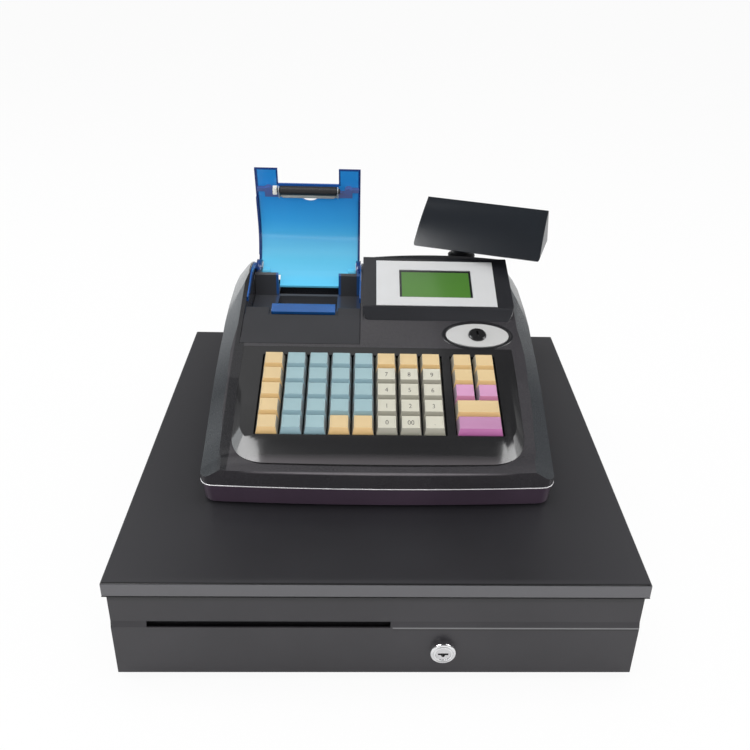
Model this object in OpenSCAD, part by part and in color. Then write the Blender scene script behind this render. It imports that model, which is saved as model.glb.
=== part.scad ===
// Electronic cash register standing on a steel cash drawer.
// +X is the operator's right, -Y the operator's side, +Z up. The origin is the middle of the
// footprint, on the counter.

/* [Drawer cabinet] */
// Width of the steel top cover
lid_w = 410; // [395:5:440]
// Depth of the top cover, front to back
lid_d = 415; // [405:5:440]
// Height of the top cover above the counter
unit_h = 100; // [98:1:115]
// Thickness of the folded steel sheet
sheet = 1.2; // [0.8:0.1:1.5]
// Height of the cover's folded skirt
skirt_h = 12.5; // [8:0.5:13]
// How far the cover stands out past the cabinet on each side
lid_over = 2.5; // [2:0.5:4]
// Width of the cabinet's top flange, which carries the cover
flange_w = 12; // [8:1:20]
// Height of the cabinet's rubber feet
foot_h = 5; // [4:0.5:7]
// Diameter of the cabinet's rubber feet
foot_dia = 26; // [18:1:32]

/* [Drawer front] */
// Height of the front panel's lower edge above the counter
panel_low = 7; // [6.5:0.5:9]
// Height of the front panel
panel_h = 79; // [78:0.5:80]
// Depth of the front panel's folded edges
panel_fold = 12; // [9:1:14]
// Setback of the panel's lower face behind the cover's front edge
panel_back = 1.5; // [1:0.5:3]
// How far the panel's lower part stands out past its upper part
step_d = 1.6; // [0.8:0.2:2.4]
// Height of the media slot's middle above the counter
slot_z = 58; // [54:1:64]
// Height of the media slot
slot_h = 4.8; // [4.6:0.2:6]
// Width of the media slot
slot_w = 185; // [150:5:200]
// Sideways place of the media slot's middle
slot_x = -83; // [-90:1:-70]

/* [Drawer lock] */
// Sideways place of the lock
lock_x = 50.8; // [40:0.2:90]
// Height of the lock above the counter
lock_z = 33.5; // [32:0.5:40]
// Diameter of the lock's chrome nose
lock_dia = 20.5; // [18:0.5:26]
// How far the nose stands out past the cover's front edge
lock_proud = 4.5; // [2:0.5:8]
// Diameter of the turning plug
plug_dia = 12; // [10:0.5:13]

/* [Drawer tray] */
// How far the drawer opens
drawer_travel = 300; // [200:10:310]
// Width of one telescopic slide
slide_w = 11.3; // [11:0.1:13]
// Height of the slide's outer channel
slide_h = 35; // [32:1:40]
// Height of the slide's middle above the counter
slide_z = 45; // [36:1:55]
// Height of the tray's floor above the counter
tray_z = 12; // [9:1:14]
// Height of the tray's walls
tray_h = 66; // [50:1:70]
// Room behind the tray for the release latch
latch_room = 85; // [80:1:95]
// Room between the front panel and the cash insert
front_room = 26; // [25:1:34]

/* [Cash insert] */
// Height of the cash insert
insert_h = 58; // [45:1:60]
// Wall of the cash insert
insert_wall = 2.5; // [2:0.1:3]
// Number of note bays
bays = 5; // [4:1:6]
// Number of coin cups in a row
cups = 4; // [3:1:5]
// Length of a coin cup, front to back
cup_d = 50; // [40:1:60]
// Diameter of the note clips' rod
rod_dia = 4; // [3:0.5:5]
// Width of a note clip
clip_w = 16; // [10:1:24]

/* [Register case] */
// Width of the register's case
case_w = 294; // [290:1:304]
// Depth of the register's case
case_d = 308; // [306:1:312]
// Setback of the case's front behind the cover's front edge
setback = 90.5; // [70:0.5:95]
// Height of the seam between the case's halves above the cover
seam_h = 20; // [18:0.5:22]
// Height of the register's feet
case_foot = 1; // [0.6:0.2:4]
// Wall of the case's mouldings
wall = 2.5; // [2:0.1:3]
// Slope of the keyboard, cover and display planes
slope = 16; // [15.5:0.1:16.5]
// Height of the sloping plane above the cover, at the case's front
plane_h = 40.3; // [39:0.1:42]
// Radius of the case's rounded back
back_r = 53.3; // [52:0.1:54]

/* [Keyboard] */
// Sideways pitch of the keys
pitch_x = 20.24; // [19.8:0.02:20.4]
// Pitch of the keys along the slope
pitch_y = 19.04; // [18.8:0.02:19.4]
// Rows of keys
rows = 5; // [4:1:5]
// Sideways place of the first column
first_col = -94.4; // [-95:0.1:-93]
// Distance of the front row behind the case's front
first_row = 44.4; // [43:0.1:46]
// Gap between the main block of keys and the right block
block_gap = 8.3; // [7:0.1:8.5]
// Width of a key at its base
key_w = 18.9; // [18:0.1:19.3]
// Length of a key at its base
key_l = 18.2; // [17.5:0.1:18.4]
// Height of the key tops above the keyboard deck
key_h = 5; // [4:0.1:6]
// Travel of a key
key_travel = 3.6; // [2:0.1:4]
// Width of a key's square stem
stem_w = 7; // [5:0.2:9]

/* [Printer] */
// Width of the paper, which sets the roller and the bin
paper_w = 58; // [57:0.5:59]
// Diameter of the paper roll that the bin takes
roll_dia = 60; // [50:1:62]
// Diameter of the platen roller
platen_dia = 9; // [8:0.2:10.6]
// Diameter of the platen's shaft
shaft_dia = 5; // [4:0.2:6]
// Thickness of the blue door's skin
door_t = 2.4; // [2:0.1:2.6]
// Angle from the closed door to the open one
door_open = 90; // [80:1:91]
// Diameter of the door's hinge pins
pin_dia = 3.2; // [2.6:0.1:3.6]

/* [Displays] */
// Slope of the operator's display
pod_slope = 18; // [17:0.1:19]
// Width of the display's silver plate
bezel_w = 117; // [112:1:122]
// Length of the silver plate along the slope
bezel_l = 66; // [62:1:68]
// Width of the display glass
glass_w = 71.4; // [66:0.2:76]
// Length of the display glass along the slope
glass_l = 40.5; // [36:0.5:44]
// Width of the customer display's head
head_w = 129.6; // [118:0.2:132]
// Height of the customer display's head
head_h = 38; // [32:0.5:42]
// Depth of the customer display's head at its foot
head_d = 58; // [50:0.5:62]
// Diameter of the customer display's neck
neck_dia = 19; // [14:0.5:22]
// Swivel of the customer display from facing straight back
head_turn = 18; // [0:1:25]

/* [Mode switch] */
// Width of the oval mode plate
mode_w = 59.4; // [50:0.2:62]
// Length of the oval mode plate along the slope
mode_l = 31.8; // [28:0.2:34]
// Diameter of the mode lock
mode_dia = 16.7; // [14:0.1:18]

/* [Hidden] */
$fn = 48;
// Places in the whole part
lid_y = lock_proud / 2;
front_y = lid_y - lid_d / 2;
reg_y = front_y + setback;
// Clearances
gap = 0.3;
fit = 0.05;
seat = 0.1;
// Drawer cabinet
cab_w = lid_w - 2 * lid_over;
cab_back = lid_y + lid_d / 2 - lid_over;
face_y = front_y + panel_back;
fold_y = face_y + panel_fold;
cab_front = fold_y + 0.5;
cab_top = unit_h - sheet;
cab_in = cab_w / 2 - sheet;
panel_hw = cab_w / 2 - 0.2;
panel_top = panel_low + panel_h;
tray_hw = cab_in - slide_w;
tray_back = cab_back - sheet - latch_room;
tray_top = tray_z + tray_h;
plate_t = sheet;
insert_hw = tray_hw - sheet - 1;
insert_y0 = fold_y + front_room;
insert_y1 = tray_back - sheet - 0.6;
insert_z0 = tray_z + sheet + seat;
insert_top = insert_z0 + insert_h;
coin_end = insert_y0 + 2 * (insert_wall + cup_d);
bay_w = (2 * insert_hw - (bays + 1) * insert_wall) / bays;
cup_w = 2 * (insert_hw - insert_wall) / cups;
cup_wall = 1.8;
rod_y = insert_y1 - insert_wall - 9;
rod_z = insert_top - 7;
slide_len = 350;
latch_x = -16;
latch_y = tray_back + 48;
latch_z = foot_h + sheet + 14;
latch_free = 14;
strike_y = tray_back + 14.5;
// Register case, seen from the side: v runs back from the case's front, w up from the cover
case_hw = case_w / 2;
tan_s = tan(slope);
back_w = plane_h + (case_d - back_r * (1 + sin(slope))) * tan_s - back_r * cos(slope);
back_v = case_d - back_r;
line_end = case_d - back_r * (1 + sin(slope));
deck_front = 22;
deck_back = 137;
cover_v0 = 141;
cover_v1 = line_end - 37;
bay_x0 = -128.5;
bay_x1 = -17;
hinge_v = line_end + 52;
hinge_w = back_w + 31.8;
door_tip = line_end - 60;
door_low = back_w + 16.8;
door_tail = asin((door_low + 1 - back_w) / (back_r - door_t));
seat_v = door_tip + 13;
strip_v0 = door_tip + 3.5;
strip_v1 = door_tip + 15.5;
notch_v = strip_v1 + 1.5;
roll_x = -72.2;
platen_v = door_tip + 20;
platen_drop = 9;
bin_x0 = roll_x - paper_w / 2 - 1.5;
bin_x1 = roll_x + paper_w / 2 + 1.5;
shelf_w = 72;
tower_v = line_end + 29;
tower_w = 97;
trough_v = line_end - 4;
trough_w = 71;
// Display housing
pod_x0 = -15;
pod_x1 = 131;
pod_v0 = 174;
pod_v1 = 181;
pod_v2 = case_d - 59;
pod_w1 = plane_w(pod_v1) + 9.1;
bezel_x = 56.6;
bezel_v = pod_v1 + 2;
mode_x = 93.5;
mode_v = 155;
neck_x = 87;
neck_v = case_d - 36;
pod_r = 6;
pod_fall = 24;
pod_back_v = pod_v2 + pod_r * sin(pod_slope);
pod_back_w = pod_w(pod_v2) - pod_r * cos(pod_slope);
fall_v = pod_back_v + pod_r * sin(pod_fall);
fall_w = pod_back_w + pod_r * cos(pod_fall);
dome_w = pod_w(pod_v2) - 2.9;
head_low = dome_w + 11.2;
head_mid = 18.6;
head_front = -23.4;
// Keyboard, on the slope
deck_t = 2.4;
cap_low = 4;
plate_depth = cap_low + key_travel + 0.6;
right_x = first_col + 7.5 * pitch_x + block_gap + pitch_x / 2;
last_row = (rows - 1) * pitch_y;

function lerp(a, b, t) = a + (b - a) * t;
// Height of the sloping plane at a distance v behind the case's front
function plane_w(v) = plane_h + v * tan_s;
function pod_w(v) = pod_w1 + (v - pod_v1) * tan(pod_slope);
// A smooth curve through [place, value] pairs, read at s
function span(p, s, i = 0) = i >= len(p) - 2 || s <= p[i + 1][0] ? i : span(p, s, i + 1);
function rise(p, i) = let (a = max(i - 1, 0), b = min(i + 1, len(p) - 1))
    (p[b][1] - p[a][1]) / (p[b][0] - p[a][0]);
function curve(p, s) = let (
    i = span(p, s),
    d = p[i + 1][0] - p[i][0],
    t = max(0, min(1, (s - p[i][0]) / d))
) p[i][1] * (2 * t ^ 3 - 3 * t ^ 2 + 1) + p[i + 1][1] * (3 * t ^ 2 - 2 * t ^ 3)
    + d * (rise(p, i) * (t ^ 3 - 2 * t ^ 2 + t) + rise(p, i + 1) * (t ^ 3 - t ^ 2));
// How far the case's top lies below the sloping plane beside the keyboard
sag_line = [[8, 4], [22, 7], [40, 6], [70, 3.4], [97, 0]];
function sag(v) = v >= 97 ? 0 : curve(sag_line, v);
function band_w(v) = plane_w(v) - sag(v);
// The case's side edge, and the line where its top meets the side
edge_line = [[17, 27.2], [37, 34.5], [105, 62], [165, 77.5], [212, 83.5], [257, 88]];
inner_line = [[7.5, 127.5], [40, 129.6], [72, 132], [113, 134], [157, 132.6], [202, 130], [252, 128]];
function inner_x(v) = curve(inner_line, min(v, 252)) + case_hw - 147;

// The side profile from v0 to the back, moved in by t: the plane, the round back and the back wall
function profile(t, v0, a1 = 0) = concat(
    [for (v = [v0, line_end]) [v + t * sin(slope), plane_w(v) - t * cos(slope)]],
    [for (a = [90 + slope - 8 : -8 : a1 + 4]) back_pt(t, a)],
    [back_pt(t, a1)]
);
function back_pt(t, a) = [back_v + (back_r - t) * cos(a), back_w + (back_r - t) * sin(a)];

module at_case() translate([0, reg_y, unit_h]) children();
// Stands a child on the sloping plane at a distance v behind the case's front
module on_slope(v = 0) translate([0, v, plane_w(v)]) rotate([slope, 0, 0]) children();
module on_pod(v = 0) translate([0, v, pod_w(v)]) rotate([pod_slope, 0, 0]) children();
// Extrudes a side profile, drawn as [v, w], from x0 to x1
module side(x0, x1) translate([x0, 0, 0]) rotate([90, 0, 90]) linear_extrude(x1 - x0) children();
module block(a, b) translate(a) cube(b - a);
module mirrored() {
    children();
    mirror([1, 0, 0]) children();
}
module bar_x(d, x0, x1) translate([x0, 0, 0]) rotate([0, 90, 0]) cylinder(d = d, h = x1 - x0);
module ellipse(w, l, h) linear_extrude(h) polygon([for (a = [0 : 7.5 : 352.5]) [w / 2 * cos(a), l / 2 * sin(a)]]);

// ---------------------------------------------------------------- drawer cabinet
module drawer_housing() {
    color("#2b2b2f")
    difference() {
        block([-cab_w / 2, cab_front, foot_h], [cab_w / 2, cab_back, cab_top]);
        block([-cab_in, cab_front - 1, foot_h + sheet], [cab_in, cab_back - sheet, cab_top - sheet]);
        block([-cab_w / 2 + flange_w, cab_front + flange_w, cab_top - 2 * sheet],
            [cab_w / 2 - flange_w, cab_back - flange_w, cab_top + 1]);
        // Cable outlet for the drawer's release lead
        translate([-120, cab_back - sheet / 2, foot_h + 22]) rotate([90, 0, 0])
            cylinder(d = 14, h = 3 * sheet, center = true);
    }
}

module drawer_lid() {
    color("#37373b")
    difference() {
        block([-lid_w / 2, front_y, unit_h - skirt_h], [lid_w / 2, front_y + lid_d, unit_h]);
        block([-lid_w / 2 + sheet, front_y + sheet, unit_h - skirt_h - 1],
            [lid_w / 2 - sheet, front_y + lid_d - sheet, unit_h - sheet]);
    }
}

module foot(h, d) {
    rotate_extrude() polygon([[0, 0], [d / 2 - 1.5, 0], [d / 2, h], [0, h]]);
}

module rubber_feet() {
    color("#1a1a1a") {
        for (x = [-1, 1]) for (y = [front_y + 45, cab_back - 30])
            translate([x * (cab_w / 2 - 30), y, 0]) foot(foot_h, foot_dia);
        for (x = [-1, 1]) for (v = [30, case_d - 40])
            translate([x * (case_hw - 35), reg_y + v, unit_h]) foot(case_foot, 15);
    }
}

// A channel of height h and depth d, open towards -X, with its web at x1
module channel(x1, d, h, y0, y1, t) {
    difference() {
        block([x1 - d, y0, slide_z - h / 2], [x1, y1, slide_z + h / 2]);
        block([x1 - d - 1, y0 - 1, slide_z - h / 2 + t], [x1 - t, y1 + 1, slide_z + h / 2 - t]);
    }
}

slide_t = 1.2;
slide_y0 = cab_front + 3;
mid_h = slide_h - 2 * (slide_t + gap);
in_h = mid_h - 2 * (slide_t + gap);

module slide_outer() {
    color("#b8bcc0") mirrored() channel(cab_in, slide_w - 1.6, slide_h, slide_y0, slide_y0 + slide_len, slide_t);
}

module slide_middle() {
    color("#c4c8cc") mirrored() channel(cab_in - slide_t - gap, slide_w - slide_t - gap - 1.3, mid_h,
        slide_y0, slide_y0 + slide_len - 20, slide_t);
}

module slide_inner() {
    reach = slide_w - 2 * (slide_t + gap);
    color("#d0d3d6") mirrored()
    difference() {
        block([tray_hw, slide_y0, slide_z - in_h / 2], [tray_hw + reach, tray_back - 2, slide_z + in_h / 2]);
        block([tray_hw + slide_t, slide_y0 - 1, slide_z - in_h / 2 + slide_t],
            [tray_hw + reach + 1, tray_back, slide_z + in_h / 2 - slide_t]);
    }
}

// ---------------------------------------------------------------- drawer
module drawer_tray() {
    color("#3a3a3e") {
        difference() {
            union() {
                // Front plate, set into the panel's folds
                block([-panel_hw + sheet + seat, fold_y - plate_t, panel_low + sheet + seat],
                    [panel_hw - sheet - seat, fold_y, panel_top - sheet - seat]);
                difference() {
                    block([-tray_hw, fold_y, tray_z], [tray_hw, tray_back, tray_top]);
                    block([-tray_hw + sheet, fold_y - 1, tray_z + sheet],
                        [tray_hw - sheet, tray_back - sheet, tray_top + 1]);
                }
            }
            block([slot_x - slot_w / 2, fold_y - 3, slot_z - slot_h / 2 - 1],
                [slot_x + slot_w / 2, fold_y + 1, slot_z + slot_h / 2 + 1]);
            translate([lock_x, fold_y + 1, lock_z]) rotate([90, 0, 0]) cylinder(d = lock_dia - 1.4, h = 6);
        }
        // Strike on the tray's back, with the pin that the latch catches
        block([-9, tray_back + fit, latch_z - 14], [9, tray_back + fit + sheet, latch_z - 5]);
        block([-9, tray_back + fit, latch_z - 6], [9, strike_y + 6, latch_z - 6 + sheet]);
        translate([0, strike_y, latch_z - 6]) cylinder(d = 5, h = 14);
    }
}

module drawer_front() {
    crease = slot_z - slot_h / 2;
    color("#333338")
    difference() {
        side(-panel_hw, panel_hw) polygon([
            [face_y + 0.8, panel_low], [fold_y, panel_low], [fold_y, panel_top],
            [face_y + step_d + 1.2, panel_top], [face_y + step_d, panel_top - 1.2],
            [face_y + step_d, crease + slot_h], [face_y, crease], [face_y, panel_low + 0.8]]);
        side(-panel_hw + sheet, panel_hw - sheet) polygon([
            [face_y + sheet, panel_low + sheet], [fold_y + 1, panel_low + sheet],
            [fold_y + 1, panel_top - sheet], [face_y + step_d + sheet, panel_top - sheet],
            [face_y + step_d + sheet, crease + slot_h], [face_y + sheet, crease]]);
        block([slot_x - slot_w / 2, face_y - 1, slot_z - slot_h / 2],
            [slot_x + slot_w / 2, face_y + 8, slot_z + slot_h / 2]);
        translate([lock_x, fold_y, lock_z]) rotate([90, 0, 0]) cylinder(d = lock_dia - 1.4, h = panel_fold + 2);
    }
}

module lock_body() {
    nose = panel_back + lock_proud;
    r = lock_dia / 2;
    color("#e6e8ea") translate([lock_x, face_y, lock_z]) rotate([90, 0, 0])
    difference() {
        rotate_extrude() polygon([
            [0, -30], [r - 1, -30], [r - 1, 0], [r, 0], [r, nose - 1.6],
            [r - 0.5, nose - 0.5], [r - 1.6, nose], [0, nose]]);
        translate([0, 0, -31]) cylinder(d = plug_dia + 2 * fit, h = 31 + nose + 1);
        // Washer groove behind the nose's face
        translate([0, 0, nose - 0.6]) difference() {
            cylinder(r = r - 2.2, h = 1);
            cylinder(r = r - 2.8, h = 3, center = true);
        }
    }
}

module lock_plug() {
    nose = panel_back + lock_proud;
    cam_l = lock_z - tray_z - sheet - 3;
    color("#d9dbdd") translate([lock_x, face_y, lock_z]) rotate([90, 0, 0]) {
        difference() {
            union() {
                translate([0, 0, -31.5]) cylinder(d = plug_dia, h = 31.5 + nose - 0.4);
                // Cam at the plug's back end
                translate([-4, 0, -33.3]) block([0, -4, 0], [8, cam_l, 1.8]);
            }
            translate([-4, -0.9, nose - 7]) cube([8, 1.8, 10]);
            translate([0, -1.4, nose - 7]) cylinder(d = 3, h = 10);
        }
    }
}

// The insert: a shallow box with a cross wall, for the cups in front and the notes behind
module cash_insert() {
    color("#202024") difference() {
        block([-insert_hw, insert_y0, insert_z0], [insert_hw, insert_y1, insert_top]);
        block([-insert_hw + insert_wall, insert_y0 + insert_wall, insert_z0 + insert_wall],
            [insert_hw - insert_wall, coin_end - insert_wall, insert_top + 1]);
        block([-insert_hw + insert_wall, coin_end, insert_z0 + insert_wall],
            [insert_hw - insert_wall, insert_y1 - insert_wall, insert_top + 1]);
        // Bores for the clips' rod
        translate([0, rod_y, rod_z]) bar_x(rod_dia + 2 * fit, -insert_hw - 1, insert_hw + 1);
    }
}

// A loose coin cup with a scooped floor
module coin_cups() {
    z0 = insert_z0 + insert_wall;
    r = cup_d * 0.62;
    color("#26262a") for (k = [0 : cups - 1]) for (j = [0, 1])
        translate([-insert_hw + insert_wall + k * cup_w, insert_y0 + insert_wall + j * cup_d, z0]) difference() {
            block([seat, seat, 0], [cup_w - seat, cup_d - seat, insert_top - z0 - 0.5]);
            intersection() {
                block([cup_wall, cup_wall, cup_wall], [cup_w - cup_wall, cup_d - cup_wall, insert_h + 5]);
                union() {
                    translate([0, cup_d / 2, r + cup_wall]) bar_x(2 * r, 0, cup_w);
                    block([0, 0, r + cup_wall - 8], [cup_w, cup_d, insert_h + 5]);
                }
            }
        }
}

// Upright walls between the note bays, each with a finger notch
module note_dividers() {
    color("#26262a") for (k = [1 : bays - 1])
        side(bay_x(k) - insert_wall, bay_x(k)) difference() {
            translate([coin_end + seat, insert_z0 + insert_wall])
                square([insert_y1 - insert_wall - coin_end - 2 * seat, insert_h - insert_wall - 0.5]);
            translate([coin_end + 36, insert_top]) circle(r = 14);
            translate([rod_y, rod_z]) circle(d = rod_dia + 2 * fit);
        }
}
function bay_x(k) = -insert_hw + insert_wall + k * (bay_w + insert_wall);

module clip_rod() {
    color("#c8ccd0") translate([0, rod_y, rod_z]) bar_x(rod_dia, -insert_hw, insert_hw);
}

// Note clips: a barrel on the rod, a springy arm and a rounded foot that presses on the notes
clip_len = 62;
clip_angle = asin((rod_z - insert_z0 - insert_wall - 4.3) / clip_len);
module bill_clips() {
    color("#8f959b")
    for (k = [0 : bays - 1])
        translate([bay_x(k) + (bay_w - clip_w) / 2, rod_y, rod_z])
            side(0, clip_w) difference() {
                union() {
                    circle(d = rod_dia + 4);
                    rotate(clip_angle) {
                        translate([-clip_len, -rod_dia / 2 - 1.4]) square([clip_len, 1.2]);
                        translate([-clip_len, -0.8]) circle(d = 6.4);
                    }
                }
                circle(d = rod_dia + 2 * fit);
            }
}

// ---------------------------------------------------------------- drawer release
module release_solenoid() {
    z0 = foot_h + sheet;
    color("#9aa0a6") {
        difference() {
            union() {
                block([latch_x - 14, latch_y - 12, z0], [58, latch_y + 24, z0 + 1.6]);
                block([16, latch_y + 22.4, z0], [58, latch_y + 24, z0 + 27]);
                translate([latch_x, latch_y, z0]) cylinder(d = 6, h = latch_z - z0 + 6);
                translate([latch_x, latch_y, z0]) cylinder(d = 11, h = latch_z - z0 - gap);
                // Coil and its plunger, which pulls the latch's tail
                translate([26, latch_y - 3, z0 + 1.6]) cube([30, 25.4, 23]);
                translate([0, latch_y + 9, latch_z + 1.5]) bar_x(6, 18, 30);
            }
            for (x = [latch_x - 9, 52]) translate([x, latch_y - 7, z0 - 1]) cylinder(d = 4, h = 4);
        }
    }
}

module latch_lever() {
    reach = latch_y - tray_back - 9;
    color("#b5b9bd") translate([latch_x, latch_y, latch_z]) linear_extrude(3) difference() {
        union() {
            circle(d = 14);
            rotate(-latch_free) {
                translate([-6, -reach]) square([8, reach]);
                // Hook, which closes in front of the strike's pin
                translate([-6, -reach - 4.5]) square([25, 6.5]);
            }
            // Tail beside the plunger
            translate([0, 4]) square([17 - latch_x, 2.7]);
        }
        circle(d = 6 + 2 * fit);
    }
}

// ---------------------------------------------------------------- register case
// The case's outside moved in by t: the side profile, cut by the plan and by the leaning side strips
front_line = [[-1, 20], [-1, 33.8], [3.8, 35.6], [10, 37.6]];
band_v = [16, 22, 30, 40, 55, 70, 84, 97];
function case_profile(t, low) = concat(
    [[front_line[0][0] + t, low]],
    [for (p = front_line) [p[0] + t * 0.4, p[1] - (p[1] > 20 ? 0.95 * t : 0)]],
    [for (v = band_v) [v + t * sin(slope), band_w(v) - t * cos(slope)]],
    profile(t, 120),
    [[case_d - t, low]]
);
function plan_half(t) = concat(
    [for (f = [0 : 0.25 : 1]) [(case_hw - 11) * f, 3.8 * f ^ 2 + t]],
    [for (a = [75 : -15 : 0]) [case_hw - 11 + (11 - t) * cos(a), 14.8 - (11 - t) * sin(a)]],
    [for (a = [0 : 22.5 : 90]) [case_hw - 7 + (7 - t) * cos(a), case_d - 7 + (7 - t) * sin(a)]]
);
function plan(t) = let (h = plan_half(t)) concat(h, [for (i = [len(h) - 1 : -1 : 1]) [-h[i][0], h[i][1]]]);

// Everything below a strip that leans down to the right from the case's top to the given side edge
module lean(edge, a, t) {
    rotate([0, a, 0]) side(-400, 400) polygon(concat(
        [for (p = edge) [p[0], p[1] * cos(a) + case_hw * sin(a) - t]],
        [[edge[len(edge) - 1][0], -300], [edge[0][0], -300]]));
}
front_strip = concat([[-20, 20], [4, 23.4], [10, 25.4]], [for (v = [17, 27, 37, 55, 80, 105, 130, 150, 165]) [v, curve(edge_line, v)]],
    [[400, 77.5 + 235 * tan_s]]);
back_strip = [[-50, 40], [150, 78], [212, 86], [257, 88], [case_d - 16, 84], [case_d - 6, 70], [case_d + 1, 52], [case_d + 9, 20],
    [case_d + 20, -200]];

module case_solid(t, low) {
    intersection() {
        side(-case_hw, case_hw) polygon(case_profile(t, low));
        linear_extrude(200) polygon(plan(t));
        lean(front_strip, 34.5, t);
        mirror([1, 0, 0]) lean(front_strip, 34.5, t);
        lean(back_strip, 52, t);
        mirror([1, 0, 0]) lean(back_strip, 52, t);
    }
}

// Outline of the keyboard deck: half width, front, back, corner radius and bow of the front edge
function deck_ring(hw, v0, v1, r, bow) = let (
    arc = [for (a = [0 : 9 : 90]) [hw - r + r * cos(a), v0 + r - r * sin(a)]],
    side_pts = [for (f = [0 : 0.2 : 0.8]) [hw + 0.6 * f * (1 - f), lerp(v1, v0 + r, f)]],
    half = concat(side_pts, arc, [for (f = [0.66, 0.33]) [(hw - r) * f, v0]])
) [for (p = concat(half, [[0, v0]], [for (i = [len(half) - 1 : -1 : 0]) [-half[i][0], half[i][1]]]))
    [p[0], p[1] + bow * (p[0] / hw) ^ 2 * max(0, 1 - (p[1] - v0) / 60)]];
function outer_ring(d) = deck_ring(123.7 - d, 8.3 + d, deck_back - d, 30 - d, 2.5);
function inner_ring(d) = deck_ring(117.7 - d, deck_front + d, deck_back - 2 - d, 24 - d, 2.5);

module key_openings(z0, z1) {
    m = 0.5;
    on_slope(first_row) {
        block([first_col - pitch_x / 2 - m, -pitch_y / 2 - m, z0],
            [first_col + 7.5 * pitch_x + m, last_row + pitch_y / 2 + m, z1]);
        block([right_x - pitch_x / 2 - m, -pitch_y / 2 - m, z0],
            [right_x + 1.5 * pitch_x + m, last_row + pitch_y / 2 + m, z1]);
    }
}

module key_deck() {
    rings = [
        [for (p = outer_ring(0)) [p[0], p[1], band_w(p[1]) - 4]],
        [for (p = outer_ring(0)) [p[0], p[1], band_w(p[1])]],
        [for (p = inner_ring(0)) [p[0], p[1], plane_w(p[1])]],
        [for (p = inner_ring(2)) [p[0], p[1], plane_w(p[1]) - deck_t]],
        [for (p = outer_ring(2.2)) [p[0], p[1], band_w(p[1]) - deck_t - 0.5]],
        [for (p = outer_ring(2.2)) [p[0], p[1], band_w(p[1]) - 4]]
    ];
    n = len(rings[0]);
    color("#141416") at_case() difference() {
        union() {
            polyhedron([for (r = rings) for (p = r) p], concat(
                [for (k = [0, 1, 3, 4, 5]) for (i = [0 : n - 1]) for (f = [0, 1])
                    let (a = k * n + i, b = k * n + (i + 1) % n, c = ((k + 1) % 6) * n + i, d = ((k + 1) % 6) * n + (i + 1) % n)
                    f == 0 ? [a, b, c] : [b, d, c]],
                [[for (i = [0 : n - 1]) 2 * n + i], [for (i = [n - 1 : -1 : 0]) 3 * n + i]]
            ), convexity = 10);
            // Bosses that carry the switch plate
            on_slope(first_row) for (x = [-112, 61.5, 112]) for (s = [2, last_row - 2])
                translate([x, s, -plate_depth]) cylinder(d = 6, h = plate_depth - deck_t + 0.5);
        }
        key_openings(-12, 2);
    }
}

module upper_case() {
    color("#303034") at_case() difference() {
        union() {
            difference() {
                case_solid(0, seam_h);
                case_solid(wall, seam_h - 1);
                // Window for the keyboard deck
                linear_extrude(200) polygon(outer_ring(-0.15));
                // Printer bay
                translate([0, 0, door_low - gap]) linear_extrude(100) polygon([
                    [bay_x0, cover_v0], [bay_x1, cover_v0], [bay_x1, case_d + 9],
                    [bay_x0 + 2.5, case_d + 9], [bay_x0 + 1.5, line_end], [bay_x0, cover_v1]]);
                block([bay_x0, cover_v0, 50], [bay_x1, case_d - 18, 150]);
                // Ventilation slots in the back wall
                for (i = [0 : 13]) translate([-98 + 7 * i, case_d - 6, 28]) cube([3, 12, 22]);
                // Power inlet
                block([60, case_d - 6, 28], [88, case_d + 6, 48]);
            }
            // Walls of the printer bay
            for (x = [bay_x0 - 2, bay_x1]) intersection() {
                side(x, x + 2) polygon(concat(profile(1.2, cover_v0 - 2, 0),
                    [[case_d - 1.2, 30], [cover_v0 - 2, 30]]));
                block([x - 1, cover_v0 - 2, 30], [x + 3, case_d - 1, 130]);
            }
            side(bay_x0 - 1, bay_x1 + 1) polygon([
                [cover_v0 - 2, plane_w(cover_v0) - 1.6], [cover_v0, plane_w(cover_v0) - 1.4],
                [cover_v0, 60], [cover_v0 - 2, 60]]);
        }
        // Mode lock
        on_slope(mode_v) translate([mode_x, 0, -1.2]) ellipse(mode_w + 1.6, mode_l + 1.6, 5);
        on_slope(mode_v) translate([mode_x, 0, -20]) cylinder(d = mode_dia + 4, h = 30);
    }
}

// A ring of the lower case, drawn in by d, at height w
function case_ring(d, w) = [for (p = plan(0)) [p[0] * (case_hw - d) / case_hw, lerp(d, case_d - d, p[1] / case_d), w]];

module lower_case() {
    rings = [case_ring(3.8, case_foot), case_ring(2.4, case_foot + 1.2), case_ring(1, seam_h - 0.8),
        case_ring(0.1, seam_h - 0.8), case_ring(0.1, seam_h), case_ring(wall + 1, seam_h), case_ring(wall + 1, seam_h - 1.5),
        case_ring(wall + 7, case_foot + wall)];
    n = len(rings[0]);
    m = len(rings);
    color("#2a282d") at_case() {
        difference() {
            polyhedron([for (r = rings) for (p = r) p], concat(
                [for (k = [0 : m - 2]) for (i = [0 : n - 1]) for (f = [0, 1])
                    let (a = k * n + i, b = k * n + (i + 1) % n) f == 0 ? [a, a + n, b] : [b, a + n, b + n]],
                [[for (i = [0 : n - 1]) i], [for (i = [n - 1 : -1 : 0]) (m - 1) * n + i]]
            ), convexity = 8);
            // Underside vents
            for (i = [0 : 9]) translate([-60 + 12 * i, 150, 0]) cube([4, 60, 10]);
        }
        // Ribs that carry the switch plate's ends
        for (x = [-116, 114]) side(x, x + 2) polygon([
            [first_row - 4, case_foot + wall - 0.5], [first_row + 66, case_foot + wall - 0.5],
            [first_row + 66, rib_w(first_row + 66)], [first_row - 4, rib_w(first_row - 4)]]);
        // Posts under the circuit board
        for (p = [[-95, 75], [95, 75], [-4, 245], [95, 245]])
            translate([p[0], p[1], case_foot + wall - 0.5]) cylinder(d = 7, h = 7);
    }
}
function rib_w(v) = plane_w(v) - (plate_depth + 1.6 + seat) / cos(slope);

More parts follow.
